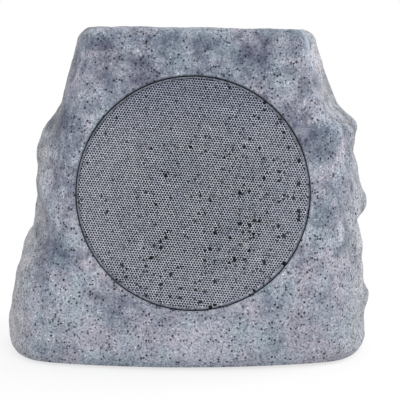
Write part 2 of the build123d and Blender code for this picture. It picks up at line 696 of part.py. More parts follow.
def tweeter_post():
    shaft = disc(POST_RADIUS, MOTOR_Z, -POD_BACK + POD_WALL)
    stud = disc(POST_STUD, MOTOR_Z - POST_STUD_LENGTH, MOTOR_Z)
    return LEDGE * (shaft + stud - disc(POST_BORE, MOTOR_BACK, POD_FRONT))


DOME_SEAT = POD_FRONT - TWEETER_FACE_HEIGHT - DOME_SHEET
POD_INNER = POD_RADIUS - POD_WALL


def tweeter_pod():
    """Cup that tapers to the back, with a step inside for the dome's edge."""
    taper = (POD_BACK + DOME_SEAT) / 2
    bore = POD_INNER - POD_STEP
    back_inner = POD_BACK_RADIUS - POD_WALL
    cup = turned(
        (POST_RADIUS + FIT, -POD_BACK), (POD_BACK_RADIUS, -POD_BACK), (POD_RADIUS, -POD_BACK + taper),
        (POD_RADIUS, POD_FRONT), (POD_INNER, POD_FRONT), (POD_INNER, DOME_SEAT), (bore, DOME_SEAT),
        (bore, -POD_BACK + taper), (back_inner, -POD_BACK + POD_WALL),
        (POST_RADIUS + FIT, -POD_BACK + POD_WALL),
    )
    return LEDGE * cup


def tweeter_motor():
    low = -POD_BACK + POD_WALL
    pot = disc(TWEETER_MOTOR_RADIUS, low, low + TWEETER_MOTOR_HEIGHT)
    pot = chamfer(pot.edges().group_by(Axis.Z)[-1], POD_WALL / 2)
    return LEDGE * (pot - disc(POST_BORE, low - PAST, low + TWEETER_MOTOR_HEIGHT / 2))


def cap_arc(radius, low, height):
    """Arc of a round cap, from its edge to its crown on the axis."""
    ball = (radius ** 2 + height ** 2) / (2 * height)
    tilt = asin(radius / ball) / 2
    middle = (ball * sin(tilt), low + height - ball * (1 - cos(tilt)))
    return ThreePointArc((radius, low), middle, (0, low + height))


def tweeter_dome():
    low = DOME_SEAT
    high = low + DOME_SHEET
    outer = cap_arc(DOME_RADIUS, high, DOME_HEIGHT)
    inner = cap_arc(DOME_RADIUS - DOME_SHEET, low, DOME_HEIGHT)
    edge = Polyline((DOME_RADIUS - DOME_SHEET, low), (POD_INNER - FIT, low), (POD_INNER - FIT, high),
                    (DOME_RADIUS, high))
    axis = Line((0, high + DOME_HEIGHT), (0, low + DOME_HEIGHT))
    return LEDGE * revolve(Plane.XZ * make_face([outer, axis, inner, edge]), Axis.Z)


def tweeter_face():
    low = DOME_SEAT + DOME_SHEET
    high = POD_FRONT
    ring = turned((DOME_RADIUS + POD_WALL, low), (POD_INNER - FIT, low), (POD_INNER - FIT, high),
                  (DOME_RADIUS + 2 * POD_WALL, high))
    return LEDGE * ring


# Base

def base_plate():
    plate = base_outline(RIM_WIDTH + SEAT_CLEARANCE, RIM_Z, BASE_TOP)
    for x, y in board_corners():
        plate += Pos(x, y, 0) * disc(BOARD_STANDOFF_RADIUS, BASE_TOP, BASE_TOP + BOARD_STANDOFF)
        plate -= Pos(x, y, BASE_TOP + BOARD_STANDOFF) * screw_hole(BOARD_SCREW_LENGTH)
    for place in BASE_SCREW_PLACES:
        plate -= place * disc(SCREW_RADIUS + FIT, -PAST, BASE_THICKNESS)
        plate -= place * disc(SCREW_HEAD_RADIUS + SEAT_CLEARANCE, -SCREW_HEAD_HEIGHT - PAST, 0)
    for place in FOOT_PLACES.values():
        plate -= place * disc(FOOT_STUD + FIT, RIM_Z - PAST, BASE_TOP + PAST)
    return plate


def base_gasket():
    ring = base_outline(RIM_WIDTH + SEAT_CLEARANCE, BASE_TOP, FLANGE_Z)
    ring -= base_outline(OPENING_INSET, BASE_TOP - PAST, FLANGE_Z + PAST)
    for place in BASE_SCREW_PLACES:
        ring -= place * disc(SCREW_RADIUS + FIT, 0, BASE_THICKNESS)
    return ring


def base_screws():
    return Compound([place * Rot(180, 0, 0) * screw(SCREW_LENGTH) for place in BASE_SCREW_PLACES])


def foot():
    """Rubber foot whose stud is pulled through the base plate as far as its head."""
    pad = disc(FOOT_RADIUS, 0, RIM_Z)
    pad = chamfer(pad.edges().group_by(Axis.Z)[0], FOOT_HEIGHT / 3)
    head = disc(FOOT_HEAD, BASE_TOP, BASE_TOP + FOOT_HEAD_HEIGHT)
    head = chamfer(head.edges().group_by(Axis.Z)[-1], FOOT_HEAD - FOOT_STUD)
    return pad + disc(FOOT_STUD, RIM_Z, BASE_TOP) + head


# Cable gland, with the floor of the bay at height 0

def gland_body():
    """Threaded sleeve with a hexagon that bears on the washer outside the wall."""
    low = GLAND_WASHER
    sleeve = disc(GLAND_THREAD, -WALL - GLAND_NUT - GLAND_TAIL, low)
    outer = disc(GLAND_THREAD, low, low + GLAND_HEX + GLAND_CAP / 2)
    body = sleeve + hexagon(GLAND_FLATS, low, low + GLAND_HEX) + outer
    body -= disc(GLAND_BORE, -2 * WALL - GLAND_NUT, GLAND_HEX + GLAND_CAP)
    seat = low + GLAND_HEX + GLAND_CAP / 2 - GLAND_SEAL_LENGTH / 2
    return GLAND * (body - disc(GLAND_THREAD - GLAND_CAP_WALL, seat, GLAND_HEX + GLAND_CAP))


def gland_washer():
    return GLAND * tube(GLAND_FLATS / 2, GLAND_THREAD + FIT, 0, GLAND_WASHER)


def gland_locknut():
    nut = hexagon(GLAND_FLATS, -WALL - GLAND_NUT, -WALL)
    return GLAND * (nut - disc(GLAND_THREAD + FIT, -WALL - GLAND_NUT - PAST, WALL))


def gland_seal():
    seat = GLAND_WASHER + GLAND_HEX + GLAND_CAP / 2 - GLAND_SEAL_LENGTH / 2
    return GLAND * tube(GLAND_THREAD - GLAND_CAP_WALL - FIT, GLAND_SEAL_BORE, seat, seat + GLAND_SEAL_LENGTH)


def gland_cap():
    """Domed nut that presses on the seal."""
    low = GLAND_WASHER + GLAND_HEX + FIT
    high = low + GLAND_CAP
    nut = hexagon(GLAND_FLATS, low, low + GLAND_CAP / 2)
    dome = disc(GLAND_FLATS / 2, low, high)
    dome = fillet(dome.edges().group_by(Axis.Z)[-1], GLAND_CAP / 4)
    seal_end = GLAND_WASHER + GLAND_HEX + GLAND_CAP / 2 + GLAND_SEAL_LENGTH / 2
    cap = nut + dome - disc(GLAND_THREAD + FIT, low - PAST, seal_end)
    return GLAND * (cap - disc(GLAND_BORE, low, high + PAST))


# Crossover

BOARD_BOTTOM = BASE_TOP + BOARD_STANDOFF
BOARD_TOP = BOARD_BOTTOM + BOARD_THICKNESS


def board_corners():
    half_length = BOARD_LENGTH / 2 - BOARD_SCREW_INSET
    half_width = BOARD_WIDTH / 2 - BOARD_SCREW_INSET
    return [(BOARD_X + i * half_length, BOARD_Y + j * half_width) for i in (-1, 1) for j in (-1, 1)]


def crossover_board():
    outline = RectangleRounded(BOARD_LENGTH, BOARD_WIDTH, BOARD_CORNER)
    board = Pos(BOARD_X, BOARD_Y, BOARD_BOTTOM) * extrude(outline, BOARD_THICKNESS)
    for x, y in board_corners():
        board -= Pos(x, y, BOARD_TOP) * screw_hole(BOARD_SCREW_LENGTH)
    return board


def board_screws():
    return Compound([Pos(x, y, BOARD_TOP) * screw(BOARD_SCREW_LENGTH) for x, y in board_corners()])


def inductor():
    """Coil on a spool."""
    spool = tube(INDUCTOR_RADIUS, INDUCTOR_BORE, 0, INDUCTOR_HEIGHT)
    waist = INDUCTOR_RADIUS - INDUCTOR_CHEEK
    winding_inset = tube(INDUCTOR_RADIUS + PAST, waist, INDUCTOR_CHEEK, INDUCTOR_HEIGHT - INDUCTOR_CHEEK)
    x = BOARD_X - BOARD_LENGTH / 2 + 2 * BOARD_SCREW_INSET + INDUCTOR_RADIUS
    return Pos(x, BOARD_Y, BOARD_TOP) * (spool - winding_inset)


def capacitor():
    body = Rot(0, 90, 0) * Cylinder(CAPACITOR_RADIUS, CAPACITOR_LENGTH)
    body = chamfer(body.edges().filter_by(GeomType.CIRCLE), CAPACITOR_EDGE)
    y = BOARD_Y + BOARD_WIDTH / 2 - 2 * BOARD_SCREW_INSET - CAPACITOR_RADIUS
    return Pos(BOARD_X + CAPACITOR_LENGTH / 2, y, BOARD_TOP + CAPACITOR_RADIUS) * body


def resistor():
    body = Box(RESISTOR_LENGTH, RESISTOR_WIDTH, RESISTOR_WIDTH)
    body = chamfer(body.edges().filter_by(Axis.X), CAPACITOR_EDGE)
    y = BOARD_Y - RESISTOR_WIDTH
    return Pos(BOARD_X + CAPACITOR_LENGTH / 2, y, BOARD_TOP + RESISTOR_WIDTH / 2) * body


BLOCK_X = BOARD_X + CAPACITOR_LENGTH / 2
BLOCK_Y = BOARD_Y - BOARD_WIDTH / 2 + BLOCK_WIDTH / 2 + BLOCK_INSET


def terminal_block():
    block = Pos(BLOCK_X, BLOCK_Y, BOARD_TOP + BLOCK_HEIGHT / 2) * Box(BLOCK_LENGTH, BLOCK_WIDTH, BLOCK_HEIGHT)
    block = chamfer(block.edges().group_by(Axis.Z)[-1].filter_by(Axis.X), CAPACITOR_EDGE)
    return block


def lead(points):
    path = FilletPolyline(*points, radius=LEAD_BEND)
    section = Plane(origin=path @ 0, z_dir=path % 0) * Circle(LEAD_RADIUS)
    return sweep(section, path=path)


def woofer_lead():
    end = LEDGE.from_local_coords(Vector(0, -TAG_END - FIT, TAG_Z))
    below = LEDGE.from_local_coords(Vector(0, -TAG_END - 2 * LEAD_BEND, TAG_Z))
    block_top = BOARD_TOP + BLOCK_HEIGHT
    start = (BLOCK_X - BLOCK_LENGTH / 4, BLOCK_Y, block_top)
    return lead([start, (start[0], start[1], block_top + 2 * LEAD_BEND), tuple(below), tuple(end)])


def tweeter_lead():
    end = LEDGE.from_local_coords(Vector(0, 0, MOTOR_BACK))
    behind = LEDGE.from_local_coords(Vector(0, 0, MOTOR_BACK - 2 * LEAD_BEND))
    block_top = BOARD_TOP + BLOCK_HEIGHT
    start = (BLOCK_X + BLOCK_LENGTH / 4, BLOCK_Y, block_top)
    return lead([start, (start[0], start[1], block_top + 2 * LEAD_BEND), tuple(behind), tuple(end)])


PIECES = (
    rock_shell, grille, grille_seal, driver_basket, driver_gasket, driver_screws, trim_ring, surround, cone,
    voice_coil_former, voice_coil, spider, top_plate, magnet, yoke, terminal_strip, solder_tags, tweeter_post,
    tweeter_pod, tweeter_motor, tweeter_dome, tweeter_face, base_plate, base_gasket, base_screws, gland_body,
    gland_washer, gland_locknut, gland_seal, gland_cap, crossover_board, board_screws, inductor, capacitor,
    resistor, terminal_block, woofer_lead, tweeter_lead,
)

os.makedirs("parts", exist_ok=True)
for piece in PIECES:
    export_step(piece(), f"parts/{piece.__name__}.step")
for name, place in FOOT_PLACES.items():
    export_step(place * foot(), f"parts/foot_{name}.step")
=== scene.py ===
import json
from math import asin, ceil, cos, pi, radians, sin, tan

import bmesh
import bpy
import numpy as np
from mathutils import Matrix, Vector, noise


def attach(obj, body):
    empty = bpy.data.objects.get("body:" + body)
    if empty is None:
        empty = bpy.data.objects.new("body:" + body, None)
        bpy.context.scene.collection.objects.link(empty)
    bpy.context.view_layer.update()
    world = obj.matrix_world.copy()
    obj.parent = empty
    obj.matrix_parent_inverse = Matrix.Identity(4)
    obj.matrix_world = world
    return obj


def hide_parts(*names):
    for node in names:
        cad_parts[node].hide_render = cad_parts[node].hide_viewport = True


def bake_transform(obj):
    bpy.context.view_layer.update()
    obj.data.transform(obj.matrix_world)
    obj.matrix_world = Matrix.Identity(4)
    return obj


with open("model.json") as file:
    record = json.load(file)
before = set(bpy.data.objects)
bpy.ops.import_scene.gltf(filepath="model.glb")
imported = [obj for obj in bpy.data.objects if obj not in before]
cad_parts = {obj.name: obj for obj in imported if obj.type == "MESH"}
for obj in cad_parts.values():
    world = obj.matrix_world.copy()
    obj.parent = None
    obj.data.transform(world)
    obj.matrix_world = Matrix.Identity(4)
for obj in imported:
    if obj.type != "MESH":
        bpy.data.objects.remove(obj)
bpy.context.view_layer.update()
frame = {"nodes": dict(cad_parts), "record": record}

# A garden loudspeaker in the shape of a rock: the rock with its relief and granite finish, the finely
# perforated grille, and the finishes of the pieces behind and below them.
# Lengths are in millimetres in the frame of the part, and become metres when a mesh is made.

MM = 0.001

# Rock, with the sizes of the shell that it stands for
ROCK_WIDTH = 364.0
ROCK_DEPTH = 266.0
ROCK_HEIGHT = 319.0
FRONT_LEAN = 7.5  # degrees that the front face leans back
WALL = 6.0
TOP_ROUND = 10.0
TOP_FALL_RIGHT = 0.0093
TOP_FALL_BACK = 0.05
BASE_TUCK = 6.0
BASE_TUCK_HEIGHT = 14.0
BASE_BOW = 12.0
BASE_BOW_REACH = 100.0
BASE_BOW_HEIGHT = 75.0
CORNER_BLEND = 12.0
ROUNDNESS = 2.5
RIM_Z = 3.0
RIM_WIDTH = 5.0
FLANGE_Z = 9.0
CAVITY_Z = 15.0
OPENING_INSET = 19.0
POCKET_RADIUS = 110.0
POCKET_EDGE = 1.4  # bevel of the pocket's edge
LEDGE_DEPTH = 16.0
LEDGE_THICKNESS = 14.0
FLANGE_HOLE = 76.5
DRIVER_HOLE = 62.0
DRIVER_SEAT = 4.0
BAY_WIDTH = 54.0
BAY_HEIGHT = 64.0
BAY_DEPTH = 36.0
BAY_CORNER = 10.0
BAY_CORNER_STEPS = 8
GLAND_HEIGHT = 36.0
GLAND_HOLE = 8.1
GLAND_SEGMENTS = 48

# Plan outline at rising shares of the height: share, then the reach to the left and right as shares
# of half the width, and to the back and the front as shares of half the depth.
LEVELS = (
    (0.00, 0.986, 0.980, 0.985, 1.16),
    (0.15, 0.964, 0.968, 0.985, 1.16),
    (0.30, 0.905, 0.957, 0.947, 1.15),
    (0.45, 0.820, 0.935, 0.887, 1.15),
    (0.60, 0.785, 0.905, 0.797, 1.13),
    (0.75, 0.700, 0.825, 0.684, 1.09),
    (0.90, 0.620, 0.735, 0.549, 1.03),
    (1.00, 0.571, 0.672, 0.420, 0.99),
)

# Swellings and hollows: direction in plan (degrees from the right, the back is 90), share of the
# height, spread across (degrees), spread up (mm) and amount outwards (mm).
LUMPS = (
    (-8, 0.700, 24, 15, 13),
    (-24, 0.640, 12, 22, 4),
    (2, 0.475, 17, 13, 10),
    (-22, 0.520, 11, 16, 4),
    (-14, 0.395, 10, 7, -3),
    (-10, 0.165, 15, 12, 5),
    (-34, 0.340, 8, 30, -4),
    (-27, 0.240, 10, 20, 3),
    (-28, 0.800, 14, 16, -3),
    (-172, 0.640, 22, 24, 9),
    (-158, 0.480, 12, 24, 4),
    (-160, 0.330, 12, 18, -4),
    (-128, 0.830, 12, 12, -3),
    (-122, 0.930, 14, 10, 3),
    (-62, 0.920, 13, 14, 3),
    (-135, 0.180, 13, 20, 3),
    (-108, 0.100, 12, 14, -2),
    (-52, 0.120, 14, 18, 3),
    (26, 0.260, 18, 22, -5),
    (32, 0.600, 18, 20, -5),
    (55, 0.190, 16, 24, 5),
    (52, 0.430, 18, 26, 7),
    (82, 0.360, 18, 20, -5),
    (98, 0.560, 18, 24, 6),
    (62, 0.680, 16, 18, -4),
    (128, 0.240, 16, 26, 6),
    (142, 0.460, 16, 24, -6),
    (124, 0.740, 18, 18, -4),
    (156, 0.640, 15, 24, 6),
    (160, 0.260, 14, 20, -4),
    (72, 0.840, 20, 18, 5),
)
LAND_WIDTH = 6.0  # flat rock round the pocket
LAND_FADE = 22.0

# Slanting folds all over the rock: the turns of each wave to the right, back and up in one length
FOLD_LENGTH = 100.0
FOLD_WAVES = ((0.55, 0.35, 0.30), (-0.30, 0.75, -0.45), (0.25, -0.40, 0.95))
FOLD_BEND = 1.1  # how far each wave bends the next
FOLD_HEIGHT = 9.0
FOLD_LEVEL = 0.17  # share of the folds' height above the plain surface
FOLD_CREST = 0.12  # rounding of the crests, as a share of the folds' height
FOLD_FOOT_FADE = 70.0  # the folds fade out towards the foot and the top over these heights
FOLD_TOP_FADE = 30.0
FRONT_FOLDS = 0.4  # share of the folds that the front has
FRONT_FOLDS_FADE = 40.0

# Small swellings and hollows of the sides, in the same order of values
SMALL_LUMPS = (
    (0, 0.880, 22, 12, 2.5),
    (0, 0.705, 22, 5, 1.5),
    (0, 0.668, 22, 7, -3.0),
    (0, 0.565, 18, 14, 3.5),
    (0, 0.430, 16, 6, 3.5),
    (0, 0.390, 16, 5, -2.4),
    (0, 0.185, 16, 6, 2.5),
    (-25, 0.330, 4, 16, -2.5),
    (180, 0.765, 24, 12, -3.0),
    (180, 0.690, 22, 8, 2.0),
    (180, 0.421, 24, 8, -3.0),
    (180, 0.205, 26, 28, 4.2),
)

# Fine relief of the rock: wavelength, height, octaves
FINE_RELIEF = (
    (46.0, 1.6, 2),
    (19.0, 1.0, 2),
    (7.0, 0.35, 1),
)
OCTAVE_DROP = 1.0  # how fast the octaves get lower
OCTAVE_STEP = 2.1  # each octave is finer by this
FINE_LAND = 2.0  # no fine relief this close to the pocket
FINE_FADE = 26.0
FRONT_DEPTH = 25.0  # rock further behind the front counts as away from the pocket
SIDE_WEIGHT = 4.0  # how fast that distance grows
ROCK_COLUMNS = 420
ROCK_SPACING = 2.3
CAP_RINGS = 26
CAVITY_COLUMNS = 72
CAVITY_SPACING = 14.0
OVERCUT = 1.0  # how far a cutter reaches past what it cuts
POCKET_MARGIN = 0.1  # faces this far outside the pocket's radius still count as its wall
ROCK_CREASE = 42.0  # edges stay sharp from this angle in degrees

# Soft patches on the front, partly sprayed mottling and partly painted shade in hollows and clefts and
# painted
# highlight on ridges: place to the right and up, half width, half height, and strength, which is negative
# for a pale patch
PATCHES = (
    (-78, 308, 18, 8, 0.9),
    (-35, 306, 12, 6, 0.4),
    (14, 307, 14, 8, 0.6),
    (54, 296, 16, 12, 1.1),
    (-81, 280, 14, 8, 0.4),
    (-38, 283, 18, 8, 0.3),
    (-52, 268, 9, 8, 0.3),
    (111, 265, 10, 8, 0.9),
    # painted shade in a hollow of the left flank
    (-120, 233, 17, 11, 1.3),
    (122, 214, 18, 12, 0.8),
    (-132, 212, 9, 6, 0.5),
    (-100, 262, 34, 34, 0.3),
    (-150, 90, 14, 70, 0.3),
    (-122, 178, 8, 12, 0.4),
    (131, 142, 18, 14, 0.9),
    # painted shade in the cleft on the right
    (152, 121, 4, 9, 1.4),
    (-124, 114, 16, 18, 1.3),
    (108, 107, 10, 9, 0.8),
    (128, 80, 12, 12, 0.5),
    (-72, 64, 32, 16, 0.6),
    (76, 60, 11, 12, 0.6),
    (6, 52, 16, 10, 0.3),
    (-73, 296, 20, 4, -1.3),
    (0, 320, 160, 5, -0.8),
    (121, 294, 12, 24, -1.3),
    (-65, 276, 10, 7, -0.5),
    (95, 267, 9, 8, -0.7),
    (138, 245, 14, 16, -0.8),
    (-93, 228, 8, 12, -0.6),
    # painted highlight on the ridge below that hollow
    (-127, 203, 14, 5, -0.7),
    (129, 190, 16, 8, -0.3),
    # painted highlight on the ridge beside that cleft
    (144, 130, 4, 12, -0.8),
    (-94, 98, 14, 10, -0.6),
    (-110, 70, 18, 16, -0.6),
    (105, 60, 10, 13, -0.5),
    (-20, 30, 70, 10, -0.3),
)
PATCH_DEPTH = 60.0  # the patches fade out from this far behind the front
PATCH_FADE = 40.0
PATCH_SHADE = 0.12  # how much darker a patch of strength one is
HOLLOW_SHADE = 0.10  # painted shade in the hollows of the relief and painted highlight on its crests: strength for each millimetre that the relief is hollow
HOLLOW_LIMIT = 3.0  # deepest hollow and highest crest that count
MOTTLE_MIDDLE = 0.44  # middle value of the soft patches of the paint

# Grille
GRILLE_X = 6.0
GRILLE_Z = 165.5
GRILLE_RADIUS = 109.0
GRILLE_SETBACK = 0.8
GRILLE_SHEET = 0.8
GRILLE_BEND = 1.2
GRILLE_RIM = 9.0
HOLE_PITCH = 2.5
HOLE_WIDTH = 2.08  # across the flats
HOLE_FIELD = 107.1  # radius of the perforated field
FIELD_SHIFT = (-0.4, 0.4)  # the field's middle to the right of the grille's, and above it
SMALLEST_PART = 0.5  # least part of a hole that is left where the field ends
HOLE_TURN = -5.2  # degrees that the rows of holes are turned
RIM_SEGMENTS = 256
BEND_STEPS = 4
GRILLE_CREASE = 35.0

# Soft rings of the driver, with the sizes of the solids that they stand for
THROAT_RADIUS = 60.0
SURROUND_ROLL = 5.0
SURROUND_SHEET = 1.0
SURROUND_LAND = 6.0
ROLL_STEPS = 14
CONE_DEPTH = 24.0
CONE_LAND = 3.0
CONE_NECK = 4.0
FORMER_RADIUS = 13.1
SPIDER_RADIUS = 44.9
SPIDER_LAND = 8.9
SPIDER_SHEET = 0.7
SPIDER_WAVE = 1.4
SPIDER_WAVES = 4
WAVE_STEPS = 8
SECTORS = 16  # pieces of a ring
SECTOR_STEPS = 8
RING_CREASE = 40.0

# Heights between which the colour changes, in part by painted shade
DARK_UP = (50.0, 330.0)  # the rock gets darker
PLAIN_FOOT = (30.0, 110.0)  # its soft patches get stronger
POCKET_SHADOW_UPPER = (GRILLE_Z + 10, GRILLE_Z + 75)  # the painted shadow under the pocket's upper edge shows
MOULDING_SHADE_UPPER = (GRILLE_Z + 30, GRILLE_Z + 90)  # painted shade darkens the bare moulding
GRILLE_TOP_SHADE = (GRILLE_Z + 45, GRILLE_Z + 100)  # the grille gets bluer, and darker as a painted shade

# Distances from the grille's middle between which it changes
GRILLE_OUTER = (54.5, 92.65)  # the grille gets paler
RIM_SHADE = (105.5, 107.6)  # and darker at its rim, a painted shade
POCKET_SHADOW_EDGE = (110.2, 111.3)  # the painted shadow at the pocket's edge fades out

# Other limits of this kind
GREY_SIDES = (12.0, 55.0)  # behind the front: the rock gets greyer
SPOT_SLANT = (-300.0, -50.0)  # place to the right less height: the grille's spots get larger and closer
FLOOR_FADE = (160.0, 420.0)  # from the middle of the floor: it gets white

SPECK_EDGE = 0.12  # half the width of a speck's soft edge
SHAKE_SIZE = 1.1  # size of the pattern that makes the specks uneven
PALE_SPECK = (0.75, 0.75, 0.76, 1)
WAVE_SCALE = 0.314  # scale of a wave pattern with one band in a unit of length

# Moulded and painted pieces: slot, finish, colour, roughness, size and depth of the texture, specular level
MOULDED = (
    ("black_rubber", "rubber_finish", (24, 24, 26), 0.8, 0.9, 0.06, 0.2),
    ("basket_paint", "basket_finish", (18, 19, 21), 0.7, 0.5, 0.04, 0.15),
    ("phenolic", "phenolic_finish", (116, 70, 40), 0.55, 0.4, 0.03, 0.5),
    ("black_plastic", "plastic_finish", (21, 22, 24), 0.65, 0.45, 0.05, 0.2),
    ("dome_film", "dome_finish", (24, 25, 28), 0.6, 3.0, 0.02, 0.2),
    ("capacitor_film", "capacitor_finish", (186, 160, 40), 0.35, 2.0, 0.03, 0.5),
    ("resistor_ceramic", "resistor_finish", (214, 210, 200), 0.75, 0.8, 0.08, 0.5),
    ("block_plastic", "block_finish", (36, 92, 60), 0.45, 0.5, 0.04, 0.5),
    ("woofer_wire", "woofer_wire_finish", (150, 34, 30), 0.5, 1.5, 0.03, 0.5),
    ("tweeter_wire", "tweeter_wire_finish", (40, 60, 120), 0.5, 1.5, 0.03, 0.5),
)

# Metals: slot, finish, colour, colour of stains, roughness
METALS = (
    ("steel", "steel_finish", (104, 105, 109), (78, 79, 83), 0.42),
    ("former_aluminium", "former_finish", (205, 206, 210), (170, 172, 178), 0.3),
    ("tin", "tin_finish", (200, 200, 198), (150, 150, 146), 0.4),
)

# Camera and stage
CAMERA_DISTANCE = 1500.0
CAMERA_X = 12.5
CAMERA_DROP = 6.25  # aim below the grille's centre
IMAGE_WIDTH = 400  # pixels
FOCAL_PIXELS = 1608.0
SENSOR_WIDTH = 36.0
VIEW_END = 100000.0
FLOOR_SIZE = 18000.0
FLOOR_COLOUR = (0.86, 0.86, 0.86, 1)
FLOOR_GLOW = 0.72  # share of white that the floor has below the object
SKY_STRENGTH = 0.62

# Lamps, aimed at the rock's middle: name, place, sides and power in watts
LAMPS = (
    ("key", (500, -1900, 1600), (1400, 1400), 26),
    ("fill", (-1500, -1500, 700), (1400, 1400), 9),
    ("left", (-1700, 500, 800), (1200, 1200), 9),
    ("right", (1700, 500, 800), (1200, 1200), 24),
    ("back", (300, 1700, 1500), (1400, 1000), 10),
)

LEAN = tan(radians(FRONT_LEAN))
FRONT_NORMAL = Vector((0, -cos(radians(FRONT_LEAN)), sin(radians(FRONT_LEAN))))
FRONT_UP = Vector((0, sin(radians(FRONT_LEAN)), cos(radians(FRONT_LEAN))))


def front_y(height):
    """Y of the leaning front face at a height."""
    return -ROCK_DEPTH / 2 + (height - RIM_Z) * LEAN


FRONT_ORIGIN = Vector((GRILLE_X, front_y(GRILLE_Z), GRILLE_Z))
FRONT_FRAME = Matrix.Translation(FRONT_ORIGIN) @ Matrix.Rotation(radians(90 - FRONT_LEAN), 4, "X")
LEDGE_FRAME = FRONT_FRAME @ Matrix.Translation((0, 0, -LEDGE_DEPTH))
SURROUND_LOW = -1.5 * SURROUND_SHEET  # underside of the surround's lands, from the ledge
ROLL_CENTRE = THROAT_RADIUS - SURROUND_ROLL + SURROUND_SHEET / 2
ROLL_INSIDE = ROLL_CENTRE - SURROUND_ROLL + SURROUND_SHEET
ROLL_OUTSIDE = ROLL_CENTRE + SURROUND_ROLL - SURROUND_SHEET
SPIDER_COLLAR = FORMER_RADIUS + CONE_LAND
CORNER_RADIUS = HOLE_WIDTH / 2 / cos(radians(30))

# Steps in row and column to the six neighbours of a hole, turning from 0 to 300 degrees
NEIGHBOURS = ((0, 1), (1, 0), (1, -1), (0, -1), (-1, 0), (-1, 1))


# The rock's form

def height_share(height):
    """Height as a share of the rock's."""
    return (height - RIM_Z) / (ROCK_HEIGHT - RIM_Z)


def reach(share):
    """Reach to the left, right, back and front at a share of the height, smooth between the levels."""
    last = len(LEVELS) - 2
    i = min(max(k for k in range(last + 1) if k == 0 or LEVELS[k][0] <= share), last)
    before, low, high, after = (LEVELS[min(max(i + k, 0), last + 1)] for k in (-1, 0, 1, 2))
    span = high[0] - low[0]
    t = (share - low[0]) / span
    values = []
    for k in range(1, len(low)):
        rise = high[k] - low[k]
        bend_low = (high[k] - before[k]) / (high[0] - before[0]) * span - rise
        bend_high = rise - (after[k] - low[k]) / (after[0] - low[0]) * span
        values.append(low[k] + rise * t + t * (1 - t) * (bend_low * (1 - t) + bend_high * t))
    return values


def smooth_step(value):
    """Smooth rise from nothing to one."""
    t = np.clip(value, 0, 1)
    return t * t * (3 - 2 * t)


def smooth_max(a, b, blend):
    """Larger of two values, rounded where they meet."""
    h = np.clip(0.5 + 0.5 * (a - b) / blend, 0, 1)
    return b + (a - b) * h + blend * h * (1 - h)


def folds(x, y, height):
    """Height of the folds, which are lower on the front and end before the foot and the top."""
    total = 0
    phase = 0
    for right, back, up in FOLD_WAVES:
        phase = 2 * pi * (right * x + back * y + up * height) / FOLD_LENGTH + FOLD_BEND * np.sin(phase)
        total = total + np.sin(phase) / len(FOLD_WAVES)
    behind = smooth_step((y - front_y(height)) / FRONT_FOLDS_FADE)
    share = FRONT_FOLDS + (1 - FRONT_FOLDS) * behind
    share = share * smooth_step((height - RIM_Z) / FOLD_FOOT_FADE)
    share = share * smooth_step((ROCK_HEIGHT - height) / FOLD_TOP_FADE)
    return share * FOLD_HEIGHT * (FOLD_LEVEL - np.hypot(total, FOLD_CREST))


def swelling(x, y, height, lumps):
    """How far a list of lumps pushes the surface outwards."""
    direction = np.degrees(np.arctan2(y, x))
    total = 0
    for angle, at_share, across, up, amount in lumps:
        turn = (direction - angle + 180) % 360 - 180
        rise = (height_share(height) - at_share) * (ROCK_HEIGHT - RIM_Z)
        total = total + amount * np.exp(-((turn / across) ** 2) - (rise / up) ** 2)
    return total


def relief(x, y, height):
    """How far lumps and folds push the surface outwards, which is nothing on the land round the grille."""
    total = folds(x, y, height) + swelling(x, y, height, LUMPS)
    distance = np.hypot(x - GRILLE_X, height - GRILLE_Z)
    land = smooth_step((distance - POCKET_RADIUS - LAND_WIDTH) / LAND_FADE)
    return total * np.where(y > 0, 1, land)


def rock_outline(height, columns):
    """Closed outline of the rock at a height, before edges are rounded."""
    left, right, back, front = reach(height_share(height))
    angles = np.radians(90 + 360 * np.arange(columns) / columns)
    c = np.cos(angles)
    s = np.sin(angles)
    half_width = np.where(c > 0, right, left) * ROCK_WIDTH / 2
    half_depth = np.where(s > 0, back, front) * ROCK_DEPTH / 2
    spread = np.abs(c / half_width) ** ROUNDNESS + np.abs(s / half_depth) ** ROUNDNESS
    x = spread ** (-1 / ROUNDNESS) * c
    y = spread ** (-1 / ROUNDNESS) * s
    bow = BASE_BOW * smooth_step(1 - (height - RIM_Z) / BASE_BOW_HEIGHT)
    flat = front_y(height) + bow * (x / BASE_BOW_REACH) ** 2
    y = np.where(s < 0, smooth_max(y, flat, CORNER_BLEND), y)
    out = 1 + relief(x, y, height) / np.hypot(x, y)
    return x * out, y * out


def rock_ring(height, inset, columns):
    """Points of the outline at a height, moved inwards by an inset."""
    x, y = rock_outline(height, columns)
    along_x = np.roll(x, -1) - np.roll(x, 1)
    along_y = np.roll(y, -1) - np.roll(y, 1)
    length = np.hypot(along_x, along_y)
    x = x - inset * along_y / length
    y = y + inset * along_x / length
    fall = TOP_FALL_RIGHT * x + TOP_FALL_BACK * (y - front_y(height))
    return np.stack([x, y, height - height_share(height) * fall], axis=1)


def edge_tuck(height, top):
    """How far the surface is drawn in near its lower and its upper edge."""
    foot = max(0, 1 - (height - RIM_Z) / BASE_TUCK_HEIGHT)
    over = min(max(0, TOP_ROUND - (top - height)), TOP_ROUND)
    return BASE_TUCK * foot ** 2 + TOP_ROUND - (TOP_ROUND ** 2 - over ** 2) ** 0.5


